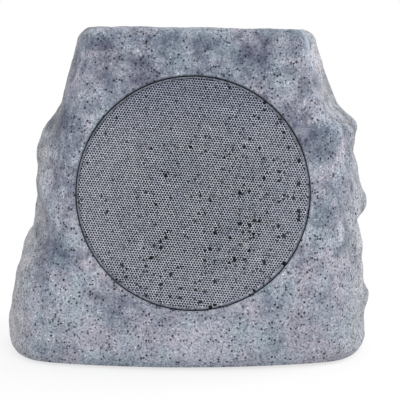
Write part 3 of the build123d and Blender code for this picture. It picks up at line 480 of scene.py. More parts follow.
def rock_rows(inset, bottom, columns, spacing):
    """Rings of the rock from its foot to the edge of its top."""
    top = ROCK_HEIGHT - inset
    low = bottom + BASE_TUCK_HEIGHT
    high = top - TOP_ROUND
    foot_steps = ceil(BASE_TUCK_HEIGHT / spacing)
    steps = ceil((high - low) / spacing)
    turns = ceil(TOP_ROUND * pi / 2 / spacing)
    heights = [bottom + BASE_TUCK_HEIGHT * k / foot_steps for k in range(foot_steps)]
    heights += [low + (high - low) * k / steps for k in range(steps + 1)]
    heights += [high + TOP_ROUND * sin(pi / 2 * k / turns) for k in range(1, turns + 1)]
    return np.array([rock_ring(h, inset + edge_tuck(h, top), columns) for h in heights])


def cap_rows(ring, count):
    """Rings that close a top, shrinking towards its middle."""
    middle = ring.mean(axis=0)
    return np.array([middle + (ring - middle) * (1 - k / count) for k in range(1, count)])


def row_normals(rows):
    """Outward directions on rings of points."""
    across = np.roll(rows, -1, axis=1) - np.roll(rows, 1, axis=1)
    along = np.gradient(rows, axis=0)
    normals = np.cross(across, along)
    return normals / np.linalg.norm(normals, axis=2, keepdims=True)


def fine_height(point):
    """Fine relief at a point."""
    total = 0
    for wavelength, height, octaves in FINE_RELIEF:
        total += height * noise.fractal(Vector(point) / wavelength, OCTAVE_DROP, OCTAVE_STEP, octaves)
    return total


def front_place(points):
    """Places from the grille's middle: to the right, up along the front and behind it."""
    offset = points - np.array(FRONT_ORIGIN)
    return offset[..., 0], offset @ np.array(FRONT_UP), -(offset @ np.array(FRONT_NORMAL))


def pocket_distance(points):
    """Distance from the pocket's edge, over the front, which is large on the other sides."""
    x, up, behind = front_place(points)
    return np.hypot(x, up) - POCKET_RADIUS + SIDE_WEIGHT * np.clip(behind - FRONT_DEPTH, 0, None)


# Meshes

def new_object(name, points, faces):
    """New piece from points in millimetres."""
    mesh = bpy.data.meshes.new(name)
    mesh.from_pydata((np.asarray(points) * MM).tolist(), [], faces)
    mesh.update()
    piece = bpy.data.objects.new(name, mesh)
    bpy.context.scene.collection.objects.link(piece)
    return piece


def set_at(piece, place):
    """Moves a mesh to a place that is given in millimetres."""
    move = place.copy()
    move.translation = place.translation * MM
    piece.data.transform(move)


def closed_rows(name, rows):
    """Closed mesh over rings of points, with a point in the middle of each end."""
    count, columns = rows.shape[:2]
    points = np.vstack([rows.reshape(-1, 3), rows[0].mean(axis=0), rows[-1].mean(axis=0)])
    foot = count * columns
    top = foot + 1
    faces = []
    for k in range(columns):
        n = (k + 1) % columns
        faces.append((n, k, foot))
        for j in range(count - 1):
            faces.append((j * columns + k, j * columns + n, (j + 1) * columns + n, (j + 1) * columns + k))
        faces.append(((count - 1) * columns + k, (count - 1) * columns + n, top))
    return new_object(name, points, faces)


def turned_rows(outline, segments):
    """Rings about Z, from an outline of radius and height."""
    angles = 2 * pi * np.arange(segments) / segments
    return np.array([
        np.stack([r * np.cos(angles), r * np.sin(angles), np.full(segments, z)], axis=1) for r, z in outline
    ])


def ring_faces(low, high, count):
    """Faces between two closed rings of points, which start at two indexes."""
    return [(low + k, high + k, high + (k + 1) % count, low + (k + 1) % count) for k in range(count)]


def turned(name, outline, segments, place):
    """Closed solid of revolution about Z, from an outline of radius and height, set at a place."""
    solid = closed_rows(name, turned_rows(outline, segments))
    set_at(solid, place)
    return solid


def prism(name, outline, heights):
    """Upright-sided solid from an outline of points, between two heights."""
    rows = [[(x, y, z) for x, y in outline] for z in heights]
    return closed_rows(name, np.array(rows, float))


def cut(piece, *cutters):
    """Takes cutters out of a piece, and removes them."""
    for cutter in cutters:
        modifier = piece.modifiers.new("cut", "BOOLEAN")
        modifier.operation = "DIFFERENCE"
        modifier.solver = "MANIFOLD"
        modifier.object = cutter
        graph = bpy.context.evaluated_depsgraph_get()
        mesh = bpy.data.meshes.new_from_object(piece.evaluated_get(graph))
        mesh.materials.clear()
        piece.modifiers.clear()
        piece.data = mesh
        bpy.data.objects.remove(cutter)
    return piece


def smooth(piece, angle):
    """Shades a piece smoothly, apart from edges that are sharper than an angle."""
    piece.data.shade_smooth()
    piece.data.set_sharp_from_angle(angle=radians(angle))


# Rock piece

def bay(grow):
    """Cable bay at the back, open to the back and the ground, grown by a wall."""
    floor = ROCK_DEPTH / 2 * LEVELS[0][3] - BAY_DEPTH - grow
    half = BAY_WIDTH / 2 + grow
    corner = BAY_CORNER + grow
    top = BAY_HEIGHT + grow
    turns = [radians(90 * k / BAY_CORNER_STEPS) for k in range(BAY_CORNER_STEPS + 1)]
    outline = [(-half, -top), (half, -top)]
    outline += [(half - corner + corner * cos(t), top - corner + corner * sin(t)) for t in turns]
    outline += [(corner - half - corner * sin(t), top - corner + corner * cos(t)) for t in turns]
    solid = prism("bay", outline, (-floor - ROCK_DEPTH, -floor))
    solid.data.transform(Matrix.Rotation(radians(90), 4, "X"))
    return solid


def base_slab(inset, high):
    """Slab with the outline of the rock's foot, moved inwards, from the ground up, without the bay."""
    ring = rock_ring(RIM_Z, inset + edge_tuck(RIM_Z, ROCK_HEIGHT), CAVITY_COLUMNS)
    return cut(prism("slab", ring[:, :2], (0, high)), bay(inset))


def cavity():
    """Hollow of the shell, without the walls of the bay and the driver's seat."""
    rows = rock_rows(WALL, CAVITY_Z, CAVITY_COLUMNS, CAVITY_SPACING)
    outer = POCKET_RADIUS + WALL
    outline = [(outer, -LEDGE_THICKNESS), (outer, LEDGE_DEPTH + WALL)]
    seat_wall = turned("seat_wall", outline, RIM_SEGMENTS, LEDGE_FRAME)
    return cut(closed_rows("cavity", rows), bay(WALL), seat_wall)


def driver_hole():
    """Stepped round hole for the grille and the driver, with a bevelled edge at the front."""
    outline = [(DRIVER_HOLE, -LEDGE_THICKNESS - WALL), (DRIVER_HOLE, -DRIVER_SEAT)]
    outline += [(FLANGE_HOLE, -DRIVER_SEAT), (FLANGE_HOLE, 0)]
    outline += [(POCKET_RADIUS, 0), (POCKET_RADIUS, LEDGE_DEPTH - POCKET_EDGE)]
    outline += [(POCKET_RADIUS + POCKET_EDGE + WALL, LEDGE_DEPTH + WALL)]
    return turned("driver_hole", outline, RIM_SEGMENTS, LEDGE_FRAME)


def gland_hole():
    """Round hole through the wall of the cable bay."""
    outline = [(GLAND_HOLE, 0), (GLAND_HOLE, ROCK_DEPTH)]
    place = Matrix.Translation((0, ROCK_DEPTH / 4, GLAND_HEIGHT)) @ Matrix.Rotation(radians(-90), 4, "X")
    return turned("gland_hole", outline, GLAND_SEGMENTS, place)


def patch_strength(points):
    """How much the patches darken the front at points, negative where they make it paler; some are painted
    shade or highlight.
    """
    x, up, behind = front_place(points)
    total = np.zeros(len(points))
    for at_x, at_up, half_width, half_height, strength in PATCHES:
        across = (GRILLE_X + x - at_x) / half_width
        rise = (GRILLE_Z + up - at_up) / half_height
        total += strength * np.exp(-(across ** 2) - rise ** 2)
    return total * (1 - smooth_step((behind - PATCH_DEPTH) / PATCH_FADE))


def add_patches_and_shade(piece):
    """Stores how much darker the rock is on the points of a piece: in the patches, and as painted shade in
    the hollows and painted highlight on the crests.
    """
    points = np.zeros(len(piece.data.vertices) * 3)
    piece.data.vertices.foreach_get("co", points)
    points = points.reshape(-1, 3) / MM
    # painted shade in the hollows and painted highlight on the crests of the relief
    hollows = np.array([-fine_height(point) for point in points]) - folds(*points.T)
    strength = patch_strength(points) + HOLLOW_SHADE * np.clip(hollows, -HOLLOW_LIMIT, HOLLOW_LIMIT)
    attribute = piece.data.attributes.new("patches_and_shade", "FLOAT", "POINT")
    attribute.data.foreach_set("value", strength.astype(np.float32))


def bare_pocket(piece):
    """Gives the faces inside the pocket the second material, which is the bare moulding."""
    centres = np.zeros(len(piece.data.polygons) * 3)
    piece.data.polygons.foreach_get("center", centres)
    x, up, behind = front_place(centres.reshape(-1, 3) / MM)
    inside = np.hypot(x, up) < POCKET_RADIUS + POCKET_MARGIN
    inside &= (behind > POCKET_EDGE) & (behind < 2 * LEDGE_DEPTH)
    piece.data.polygons.foreach_set("material_index", inside.astype(np.int32))


def rock():
    """The whole rock with its relief, cut out and hollowed."""
    rows = rock_rows(0, RIM_Z, ROCK_COLUMNS, ROCK_SPACING)
    rows = np.vstack([rows, cap_rows(rows[-1], CAP_RINGS)])
    heights = np.array([[fine_height(point) for point in row] for row in rows])
    heights = heights + swelling(*np.moveaxis(rows, 2, 0), SMALL_LUMPS)
    foot = smooth_step((rows[..., 2] - RIM_Z) / BASE_TUCK_HEIGHT)
    land = smooth_step((pocket_distance(rows) - FINE_LAND) / FINE_FADE)
    rows = rows + row_normals(rows) * (heights * foot * land)[..., None]
    piece = closed_rows("rock", rows)
    cut(piece, bay(0), base_slab(RIM_WIDTH, FLANGE_Z), base_slab(OPENING_INSET, CAVITY_Z + OVERCUT))
    cut(piece, driver_hole(), gland_hole(), cavity())
    add_patches_and_shade(piece)
    bare_pocket(piece)
    smooth(piece, ROCK_CREASE)
    return piece


# Grille piece

def hole_lattice():
    """Places of the holes by row and column: the whole ones, and those that the field's end cuts off."""
    row_height = HOLE_PITCH * cos(radians(30))
    rows = ceil(HOLE_FIELD / row_height)
    columns = ceil(2 * HOLE_FIELD / HOLE_PITCH)
    whole = {}
    parts = []
    for row in range(-rows, rows + 1):
        for column in range(-columns, columns + 1):
            x = (column + row / 2) * HOLE_PITCH
            y = row * row_height
            distance = np.hypot(x, y)
            if distance < HOLE_FIELD - CORNER_RADIUS:
                whole[row, column] = (x, y)
            elif distance < HOLE_FIELD + HOLE_WIDTH / 2 - SMALLEST_PART:
                parts.append((x, y))
    return whole, parts


def hole_outline(x, y):
    """Corners of a hole, with a flat towards each neighbour."""
    angles = [radians(60 * k - 30) for k in range(6)]
    return [(x + CORNER_RADIUS * cos(angle), y + CORNER_RADIUS * sin(angle)) for angle in angles]


def cut_outline(x, y):
    """Corners of a hole that is cut off straight where the field ends."""
    outward = np.array([x, y]) / np.hypot(x, y)
    corners = np.array(hole_outline(x, y))
    past = corners @ outward - HOLE_FIELD
    kept = []
    for k in range(6):
        if (past[k - 1] > 0) != (past[k] > 0):
            share = past[k - 1] / (past[k - 1] - past[k])
            kept.append(corners[k - 1] + share * (corners[k] - corners[k - 1]))
        if past[k] <= 0:
            kept.append(corners[k])
    return kept


def sheet_faces(first):
    """Faces between the holes of a perforated sheet, and the edges where the field of holes ends."""
    faces = []
    edges = []
    for (row, column), start in first.items():
        beside = [first.get((row + r, column + c)) for r, c in NEIGHBOURS]
        for k in range(6):
            low = start + k
            high = start + (k + 1) % 6
            other = beside[k]
            third = beside[(k + 1) % 6]
            if other is None:
                edges.append((low, high))
                continue
            facing_low = other + (k + 4) % 6
            facing_high = other + (k + 3) % 6
            if k < 3:
                faces.append((low, facing_low, facing_high, high))
            if third is None:
                edges.append((high, facing_high))
            elif k < 2:
                faces.append((high, facing_high, third + (k + 5) % 6))
            if beside[k - 1] is None:
                edges.append((low, facing_low))
    return faces, edges


def fill_to_rim(corners, edges, rim_points):
    """Triangles between the whole holes, the cut off holes and the rim's circle."""
    used = sorted({index for edge in edges for index in edge})
    fill = bmesh.new()
    made = {index: fill.verts.new((*corners[index], 0)) for index in used}
    circle = [fill.verts.new(point) for point in rim_points]
    lines = {tuple(sorted(edge)) for edge in edges}
    outline = [fill.edges.new((made[a], made[b])) for a, b in sorted(lines)]
    outline += [fill.edges.new((circle[k - 1], circle[k])) for k in range(len(circle))]
    bmesh.ops.triangle_fill(fill, use_beauty=True, edges=outline, normal=(0, 0, 1))
    index_of = {vertex: index for index, vertex in made.items()}
    index_of.update({vertex: len(corners) + k for k, vertex in enumerate(circle)})
    faces = []
    for face in fill.faces:
        face.normal_update()
        loop = [index_of[vertex] for vertex in face.verts]
        faces.append(loop if face.normal.z > 0 else loop[::-1])
    fill.free()
    return faces


def rim_outline():
    """Section of the folded rim between the front and the back of the sheet: radius and height."""
    flat = GRILLE_RADIUS - GRILLE_BEND
    top = -GRILLE_SETBACK
    bend = [radians(90 * k / BEND_STEPS) for k in range(1, BEND_STEPS + 1)]
    inner = GRILLE_BEND - GRILLE_SHEET
    outline = [(flat + GRILLE_BEND * sin(t), top - GRILLE_BEND * (1 - cos(t))) for t in bend]
    outline += [(GRILLE_RADIUS, top - GRILLE_RIM), (GRILLE_RADIUS - GRILLE_SHEET, top - GRILLE_RIM)]
    outline += [(flat + inner * sin(t), top - GRILLE_BEND + inner * cos(t)) for t in reversed(bend)]
    return outline


def grille():
    """The perforated sheet with its folded rim."""
    whole, parts = hole_lattice()
    outlines = [hole_outline(*place) for place in whole.values()]
    outlines += [cut_outline(*place) for place in parts]
    corners = np.vstack(outlines) + np.array(FIELD_SHIFT)
    first = {key: 6 * k for k, key in enumerate(whole)}
    loops = []
    start = 0
    for outline in outlines:
        loops.append([(start + k, start + (k + 1) % len(outline)) for k in range(len(outline))])
        start += len(outline)
    front, edges = sheet_faces(first)
    part_edges = [edge for loop in loops[len(whole):] for edge in loop]
    circle = turned_rows([(GRILLE_RADIUS - GRILLE_BEND, 0)], RIM_SEGMENTS)[0]
    front = front + fill_to_rim(corners, edges + part_edges, circle)
    flat = np.vstack([corners, circle[:, :2]])
    count = len(flat)
    top = -GRILLE_SETBACK
    rim = rim_outline()
    points = [np.column_stack([flat, np.full(count, z)]) for z in (top, top - GRILLE_SHEET)]
    points += list(turned_rows(rim, RIM_SEGMENTS))
    faces = front + [tuple(index + count for index in reversed(face)) for face in front]
    for loop in loops:
        faces += [(high, low, low + count, high + count) for low, high in loop]
    rings = [len(corners)]
    rings += [2 * count + k * RIM_SEGMENTS for k in range(len(rim))]
    rings += [len(corners) + count]
    for lower, upper in zip(rings, rings[1:]):
        faces += ring_faces(lower, upper, RIM_SEGMENTS)
    piece = new_object("grille_sheet", np.vstack(points), faces)
    set_at(piece, FRONT_FRAME @ Matrix.Rotation(radians(HOLE_TURN), 4, "Z"))
    smooth(piece, GRILLE_CREASE)
    return piece


# Soft rings of the driver

def surround_outline():
    """Section of the half roll with the land on the cone and the land in the basket: radius and height."""
    low = SURROUND_LOW
    middle = low + SURROUND_SHEET / 2
    high = low + SURROUND_SHEET
    inside = SURROUND_ROLL - SURROUND_SHEET
    inner = ROLL_CENTRE - SURROUND_ROLL - CONE_LAND
    outer = THROAT_RADIUS + SURROUND_LAND
    first = asin(-middle / SURROUND_ROLL)
    last = pi - asin((high - middle) / SURROUND_ROLL)
    under = [pi - pi * k / ROLL_STEPS for k in range(ROLL_STEPS + 1)]
    over = [first + (last - first) * k / ROLL_STEPS for k in range(ROLL_STEPS + 1)]
    outline = [(inner, low), (ROLL_INSIDE, low)]
    outline += [(ROLL_CENTRE + inside * cos(t), middle + inside * sin(t)) for t in under]
    outline += [(ROLL_OUTSIDE, low), (outer, low), (outer, 0)]
    outline += [(ROLL_CENTRE + SURROUND_ROLL * cos(t), middle + SURROUND_ROLL * sin(t)) for t in over]
    return outline + [(inner, high)]


def spider_outline():
    """Section of the corrugated disc from the coil former to the land in the basket: radius and height."""
    middle = SURROUND_LOW - CONE_DEPTH - CONE_NECK - SPIDER_WAVE
    length = SPIDER_RADIUS - SPIDER_LAND - SPIDER_COLLAR
    steps = SPIDER_WAVES * WAVE_STEPS
    line = [(FORMER_RADIUS, middle)]
    for k in range(steps + 1):
        height = middle + SPIDER_WAVE * sin(2 * pi * k / WAVE_STEPS)
        line.append((SPIDER_COLLAR + length * k / steps, height))
    line.append((SPIDER_RADIUS, middle))
    lower = [(r, z - SPIDER_SHEET / 2) for r, z in line]
    upper = [(r, z + SPIDER_SHEET / 2) for r, z in reversed(line)]
    return lower + upper


def ring_sector(name, outline, middle):
    """Closed sector of a ring about the driver's axis, from a section of radius and height."""
    count = len(outline)
    points = []
    faces = [tuple(range(count))]
    for k in range(SECTOR_STEPS + 1):
        angle = middle + 2 * pi / SECTORS * (k / SECTOR_STEPS - 0.5)
        points += [(r * cos(angle), r * sin(angle), z) for r, z in outline]
    for low in range(0, SECTOR_STEPS * count, count):
        faces += ring_faces(low, low + count, count)
    faces.append(tuple(reversed(range(SECTOR_STEPS * count, len(points)))))
    piece = new_object(name, points, faces)
    set_at(piece, LEDGE_FRAME)
    smooth(piece, RING_CREASE)
    return piece


def bending_ring(node, slot, finishes, outline):
    """Puts a soft ring in the place of a node, in sectors."""
    for k in range(SECTORS):
        angle = 2 * pi * k / SECTORS
        piece = ring_sector(f"{node}_{k + 1:02d}", outline, angle)
        piece.data.materials.append(finishes[slot])
        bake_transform(piece)
        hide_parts(node)


# Materials

def colour(red, green, blue):
    """Linear colour from the usual values up to 255."""
    values = [v / 255 for v in (red, green, blue)]
    return (*[v / 12.92 if v <= 0.04045 else ((v + 0.055) / 1.055) ** 2.4 for v in values], 1)


class Finish:
    """A material that is built from nodes, on the coordinates of its own object."""

    def __init__(self, name, **values):
        self.material = bpy.data.materials.new(name)
        self.material.use_nodes = True
        self.tree = self.material.node_tree
        self.shader = self.tree.nodes["Principled BSDF"]
        self.place = self.node("ShaderNodeTexCoord").outputs["Object"]
        for key, value in values.items():
            self.set(key, value)

    def node(self, kind, inputs=None, **settings):
        """Adds a node, with its settings and what goes into its inputs."""
        made = self.tree.nodes.new(kind)
        for key, value in settings.items():
            setattr(made, key, value)
        for key, value in (inputs or {}).items():
            self.put(made.inputs[key], value)
        return made

    def put(self, socket, value):
        """Links a socket to another, or sets its value."""
        if isinstance(value, bpy.types.NodeSocket):
            self.tree.links.new(value, socket)
        else:
            socket.default_value = value

    def set(self, key, value):
        """Sets an input of the shader, named in words joined by underscores."""
        names = {"color": "Base Color", "ior_level": "Specular IOR Level"}
        self.put(self.shader.inputs[names.get(key, key.replace("_", " ").title())], value)

    def surface(self, shade, relief):
        """Sets the colour and the relief, and gives the material."""
        self.set("color", shade)
        self.set("normal", relief)
        return self.material

    def vector(self, operation, a, b):
        """Outputs of a sum or another relation of two vectors."""
        return self.node("ShaderNodeVectorMath", {0: a, 1: b}, operation=operation).outputs

    def shifted(self, offset):
        """Coordinates moved by an offset, so that two patterns of a kind don't agree."""
        return self.vector("ADD", self.place, offset)[0]

    def axis(self, name):
        """One of the coordinates X, Y and Z."""
        return self.node("ShaderNodeSeparateXYZ", {0: self.place}).outputs[name]

    def noise(self, size, detail=2.0, roughness=0.5, offset=None, distortion=0.0):
        """Cloudy pattern with features of a size in millimetres."""
        inputs = {
            "Vector": self.shifted(offset) if offset else self.place,
            "Scale": 1 / (size * MM),
            "Detail": detail,
            "Roughness": roughness,
            "Distortion": distortion,
        }
        return self.node("ShaderNodeTexNoise", inputs).outputs["Fac"]

    def bands(self, place, direction, pitch, distortion):
        """Bands across a direction, with a pitch in millimetres."""
        inputs = {"Vector": place, "Scale": WAVE_SCALE / (pitch * MM), "Distortion": distortion}
        return self.node("ShaderNodeTexWave", inputs, bands_direction=direction).outputs["Fac"]

    def math(self, operation, a, b, clamp=False):
        """Sum or another relation of two values."""
        return self.node("ShaderNodeMath", {0: a, 1: b}, operation=operation, use_clamp=clamp).outputs[0]

    def times(self, a, b):
        """Product of two values."""
        return self.math("MULTIPLY", a, b)

    def between(self, value, low, high, to_low=0.0, to_high=1.0):
        """Maps a value between two limits to a range, smoothly."""
        inputs = dict(enumerate((value, low, high, to_low, to_high)))
        return self.node("ShaderNodeMapRange", inputs, interpolation_type="SMOOTHSTEP").outputs[0]

    def along(self, length, limits, to_low=0.0, to_high=1.0):
        """Maps a length in metres between two limits in millimetres to a range, smoothly."""
        low, high = limits
        return self.between(length, low * MM, high * MM, to_low, to_high)

    def ramp(self, value, *stops):
        """Colours along a value: each stop is a place and a colour."""
        node = self.node("ShaderNodeValToRGB", {0: value})
        elements = node.color_ramp.elements
        while len(elements) < len(stops):
            elements.new(0.5)
        for element, (at, shade) in zip(elements, stops):
            element.position = at
            element.color = shade
        return node.outputs[0]

    def mix(self, share, a, b, blend="MIX"):
        """Mixes a share of a second colour into a first. Such a node has its colours at 6, 7 and 2."""
        inputs = {"Factor": share, 6: a, 7: b}
        return self.node("ShaderNodeMix", inputs, data_type="RGBA", blend_type=blend).outputs[2]

    def wobbled(self, place, amount):
        """Coordinates shaken by a fine pattern, by an amount in millimetres."""
        shake = self.node("ShaderNodeTexNoise", {"Vector": place, "Scale": 1 / (SHAKE_SIZE * MM)})
        centred = self.vector("SUBTRACT", shake.outputs["Color"], (0.5, 0.5, 0.5))[0]
        inputs = {0: centred, "Scale": 2 * amount * MM}
        scaled = self.node("ShaderNodeVectorMath", inputs, operation="SCALE").outputs[0]
        return self.vector("ADD", place, scaled)[0]

    def cells(self, size, offset, wobble=0.0):
        """Cells of a size in millimetres: how far each middle is in millimetres, and a random colour."""
        place = self.shifted(offset)
        if wobble:
            place = self.wobbled(place, wobble)
        node = self.node("ShaderNodeTexVoronoi", {"Vector": place, "Scale": 1 / (size * MM)})
        return self.times(node.outputs["Distance"], size), node.outputs["Color"]

    def specks(self, size, smallest, largest, offset, wobble=0.35, bare=0.0):
        """Where specks cover a surface: one to a cell, with a range of radii, and a share of bare cells."""
        distance, shade = self.cells(size, offset, wobble)
        random = self.node("ShaderNodeSeparateColor", {0: shade}).outputs[0]
        radius = self.between(random, bare, 1.0, smallest, largest)
        return self.between(self.math("SUBTRACT", radius, distance), -SPECK_EDGE, SPECK_EDGE)

    def bump(self, height, depth, strength, under=None):
        """Fine relief of a depth in millimetres, over another if one is given."""
        inputs = {"Height": height, "Distance": depth * MM, "Strength": strength}
        if under is not None:
            inputs["Normal"] = under
        return self.node("ShaderNodeBump", inputs).outputs["Normal"]


def grained(finish, base):
    """Adds the sprayed grain to a colour: fine clouds and pale specks. Also gives the clouds."""
    grain = finish.noise(2.0, detail=3.0, roughness=0.7)
    shade = finish.ramp(
        grain,
        (0.32, colour(128, 130, 137)),
        (0.50, colour(228, 228, 231)),
        (0.64, colour(255, 255, 255)),
    )
    base = finish.mix(1.0, base, shade, "MULTIPLY")
    pale = finish.times(finish.specks(2.5, 0.05, 0.68, (0.5, 0.2, 0.9)), 0.6)
    return finish.mix(pale, base, PALE_SPECK, "DODGE"), grain


def mottled(finish, dark, contrast):
    """Soft patches of blue grey and pale grey. Dark shifts them to the darker end."""
    broad = finish.times(finish.noise(34, detail=3.0, distortion=0.4), 0.38)
    medium = finish.times(finish.noise(11, detail=3.0, roughness=0.6), 0.5)
    mottle = finish.math("SUBTRACT", finish.math("ADD", broad, medium), MOTTLE_MIDDLE)
    shift = finish.math("SUBTRACT", dark, MOTTLE_MIDDLE)
    mottle = finish.math("SUBTRACT", finish.times(mottle, contrast), shift)
    base = finish.ramp(
        mottle,
        (0.32, colour(99, 104, 122)),
        (0.45, colour(138, 144, 157)),
        (0.53, colour(164, 168, 179)),
        (0.66, colour(191, 193, 202)),
    )
    tint = finish.ramp(
        finish.noise(30, offset=(0.3, 0.7, 0.1)),
        (0.36, colour(242, 252, 250)),
        (0.50, colour(252, 252, 252)),
        (0.64, colour(254, 247, 247)),
    )
    return finish.mix(1.0, base, tint, "MULTIPLY")


def greyer_sides(finish, base):
    """Takes most of the blue out of a colour on the sides and the back."""
    forward = finish.vector("DOT_PRODUCT", finish.place, FRONT_NORMAL)["Value"]
    behind = finish.math("SUBTRACT", FRONT_ORIGIN.dot(FRONT_NORMAL) * MM, forward)
    inputs = {"Color": base, "Saturation": finish.along(behind, GREY_SIDES, 1.0, 0.45)}
    return finish.node("ShaderNodeHueSaturation", inputs).outputs[0]


def from_grille(finish):
    """Distance from the grille's middle, in metres."""
    return finish.vector("DISTANCE", finish.place, FRONT_ORIGIN * MM)["Value"]


def shadow_at_pocket(finish, base):
    """Paints a shadow at the upper edge of the pocket, in the dark colour of the moulding."""
    near = finish.along(from_grille(finish), POCKET_SHADOW_EDGE, 1.0, 0.0)
    upper = finish.along(finish.axis("Z"), POCKET_SHADOW_UPPER)
    return finish.mix(finish.times(finish.times(near, upper), 0.6), base, colour(42, 45, 54))


def rock_finish():
    """Sprayed granite: soft patches, grain, and small grey and black specks, with painted shade in the
    hollows, painted highlight on the crests and a painted shadow at the pocket's upper edge.
    """
    finish = Finish("rock_finish", roughness=0.85, ior_level=0.25)
    # stored darkening: the patches, partly painted shade and highlight, and painted shade in the hollows
    patches_and_shade = finish.node("ShaderNodeAttribute", attribute_name="patches_and_shade").outputs["Fac"]
    height = finish.axis("Z")
    rising = finish.along(height, DARK_UP, -0.095, -0.02)
    dark = finish.math("ADD", finish.times(patches_and_shade, PATCH_SHADE), rising)
    contrast = finish.along(height, PLAIN_FOOT, 0.6, 1.0)
    base, grain = grained(finish, greyer_sides(finish, mottled(finish, dark, contrast)))
    black = finish.specks(2.5, 0.0, 1.2, (0.1, 0.6, 0.4), wobble=0.45, bare=0.62)
    small = finish.specks(1.9, 0.05, 0.5, (0.8, 0.3, 0.2), wobble=0.2)
    base = finish.mix(finish.times(small, 0.65), base, colour(56, 58, 66))
    base = finish.mix(finish.times(black, 0.92), base, colour(30, 32, 38))
    pits = finish.bump(finish.noise(4.5, detail=3.0, offset=(0.4, 0.4, 0.4)), 0.9, 0.5)
    # painted shadow at the pocket's upper edge goes over the colour
    return finish.surface(shadow_at_pocket(finish, base), finish.bump(grain, 0.35, 0.5, pits))


def grille_finish():
    """The same granite on metal, with larger black spots that crowd towards the lower right, and painted
    shade at its top and its rim.
    """
    finish = Finish("grille_finish", roughness=0.75, ior_level=0.1)
    cloud = finish.noise(14)
    height = finish.axis("Z")
    distance = from_grille(finish)
    base = finish.ramp(cloud, (0.3, colour(199, 207, 222)), (0.7, colour(222, 228, 240)))
    base = finish.mix(finish.along(distance, GRILLE_OUTER, 0.0, 0.5), base, colour(230, 236, 248))
    # painted shade: the grille's top is made bluer and darker
    base = finish.mix(finish.along(height, GRILLE_TOP_SHADE, 0.0, 0.5), base, colour(160, 171, 198))
    # painted shade at the grille's rim
    base = finish.mix(finish.along(distance, RIM_SHADE), base, colour(122, 126, 136))
    base, grain = grained(finish, base)
    slant = finish.math("SUBTRACT", finish.axis("X"), height)
    largest = finish.along(slant, SPOT_SLANT, 1.3, 2.15)
    bare = finish.along(slant, SPOT_SLANT, 0.92, 0.64)
    spots = finish.specks(4.6, 0.2, largest, (0.7, 0.2, 0.3), wobble=0.6, bare=bare)
    small = finish.specks(3.2, 0.2, 1.3, (0.2, 0.9, 0.6), wobble=0.45, bare=bare)
    black = finish.math("MAXIMUM", spots, finish.times(small, 0.9))
    return finish.surface(finish.mix(black, base, colour(12, 13, 16)), finish.bump(grain, 0.12, 0.5))


def bare_moulding():
    """Unpainted grey of the rock's moulding, with a little overspray, darker in its upper part as a painted
    shade.
    """
    finish = Finish("bare_moulding_finish", roughness=0.8, ior_level=0.15)
    cloud = finish.noise(12, detail=4.0)
    mist = finish.specks(2.4, 0.0, 0.5, (0.6, 0.1, 0.3))
    base = finish.ramp(cloud, (0.35, colour(46, 50, 60)), (0.65, colour(56, 60, 71)))
    base = finish.mix(finish.times(mist, 0.3), base, colour(110, 115, 126))
    # painted shade in the upper part of the pocket
    upper = finish.along(finish.axis("Z"), MOULDING_SHADE_UPPER, 0.0, 0.8)
    return finish.surface(finish.mix(upper, base, colour(22, 26, 34)), finish.bump(cloud, 0.2, 0.4))


def moulded(name, shade, roughness, grain, depth, ior_level):
    """Moulded or painted surface: a fine texture, and a little change in shade and gloss."""
    finish = Finish(name, ior_level=ior_level)
    cloud = finish.noise(24, detail=3.0)
    full = colour(*shade)
    darker = (*[0.8 * v for v in full[:3]], 1)
    finish.set("roughness", finish.between(cloud, 0.3, 0.7, roughness - 0.06, roughness + 0.06))
    base = finish.ramp(cloud, (0.35, darker), (0.65, full))
    return finish.surface(base, finish.bump(finish.noise(grain), depth, 0.4))


def metal(name, shade, stain, roughness):
    """Bare or plated metal with faint brushing and dull stains."""
    finish = Finish(name, metallic=1.0)
    cloud = finish.noise(9, detail=4.0)
    lines = finish.noise(0.8, detail=3.0, offset=(0.2, 0.2, 0.2))
    finish.set("roughness", finish.between(cloud, 0.3, 0.7, roughness + 0.12, roughness - 0.05))
    base = finish.ramp(cloud, (0.35, colour(*stain)), (0.6, colour(*shade)))
    return finish.surface(base, finish.bump(lines, 0.03, 0.3))


def striped(name, shade, gap_shade, pitch, **values):
    """Fine bands across the driver's axis, as turns of wire or a moulded cone have."""
    finish = Finish(name, **values)
    inputs = {"Vector": finish.place, "Rotation": (radians(FRONT_LEAN - 90), 0, 0)}
    place = finish.node("ShaderNodeMapping", inputs).outputs[0]
    bands = finish.bands(place, "Z", pitch, 0.4)
    base = finish.ramp(bands, (0.1, gap_shade), (0.5, shade))
    return finish.surface(base, finish.bump(bands, 0.08, 0.5))


def woven(name, shade, gap_shade, pitch):
    """Coarse cloth: two sets of threads."""
    finish = Finish(name, roughness=0.9)
    cloth = finish.times(*(finish.bands(finish.place, direction, pitch, 0.6) for direction in "XZ"))
    base = finish.ramp(cloth, (0.05, gap_shade), (0.5, shade))
    return finish.surface(base, finish.bump(cloth, 0.2, 0.6))


def foam():
    """Open cell foam: small dark pores."""
    finish = Finish("foam_finish", roughness=0.95)
    distance, _ = finish.cells(1.1, (0.3, 0.1, 0.2))
    pores = finish.between(distance, 0.15, 0.5)
    base = finish.ramp(pores, (0.2, colour(12, 12, 13)), (0.8, colour(44, 44, 46)))
    return finish.surface(base, finish.bump(distance, 0.5, 0.7))


def ferrite():
    """Dark grey ceramic with a few paler chips."""
    finish = Finish("ferrite_finish", roughness=0.7)
    grain = finish.noise(2.2, detail=5.0, roughness=0.7)
    chips = finish.specks(6.0, 0.0, 0.5, (0.1, 0.2, 0.8))
    base = finish.ramp(grain, (0.35, colour(38, 38, 41)), (0.65, colour(70, 70, 74)))
    return finish.surface(finish.mix(chips, base, colour(112, 112, 116)), finish.bump(grain, 0.15, 0.5))


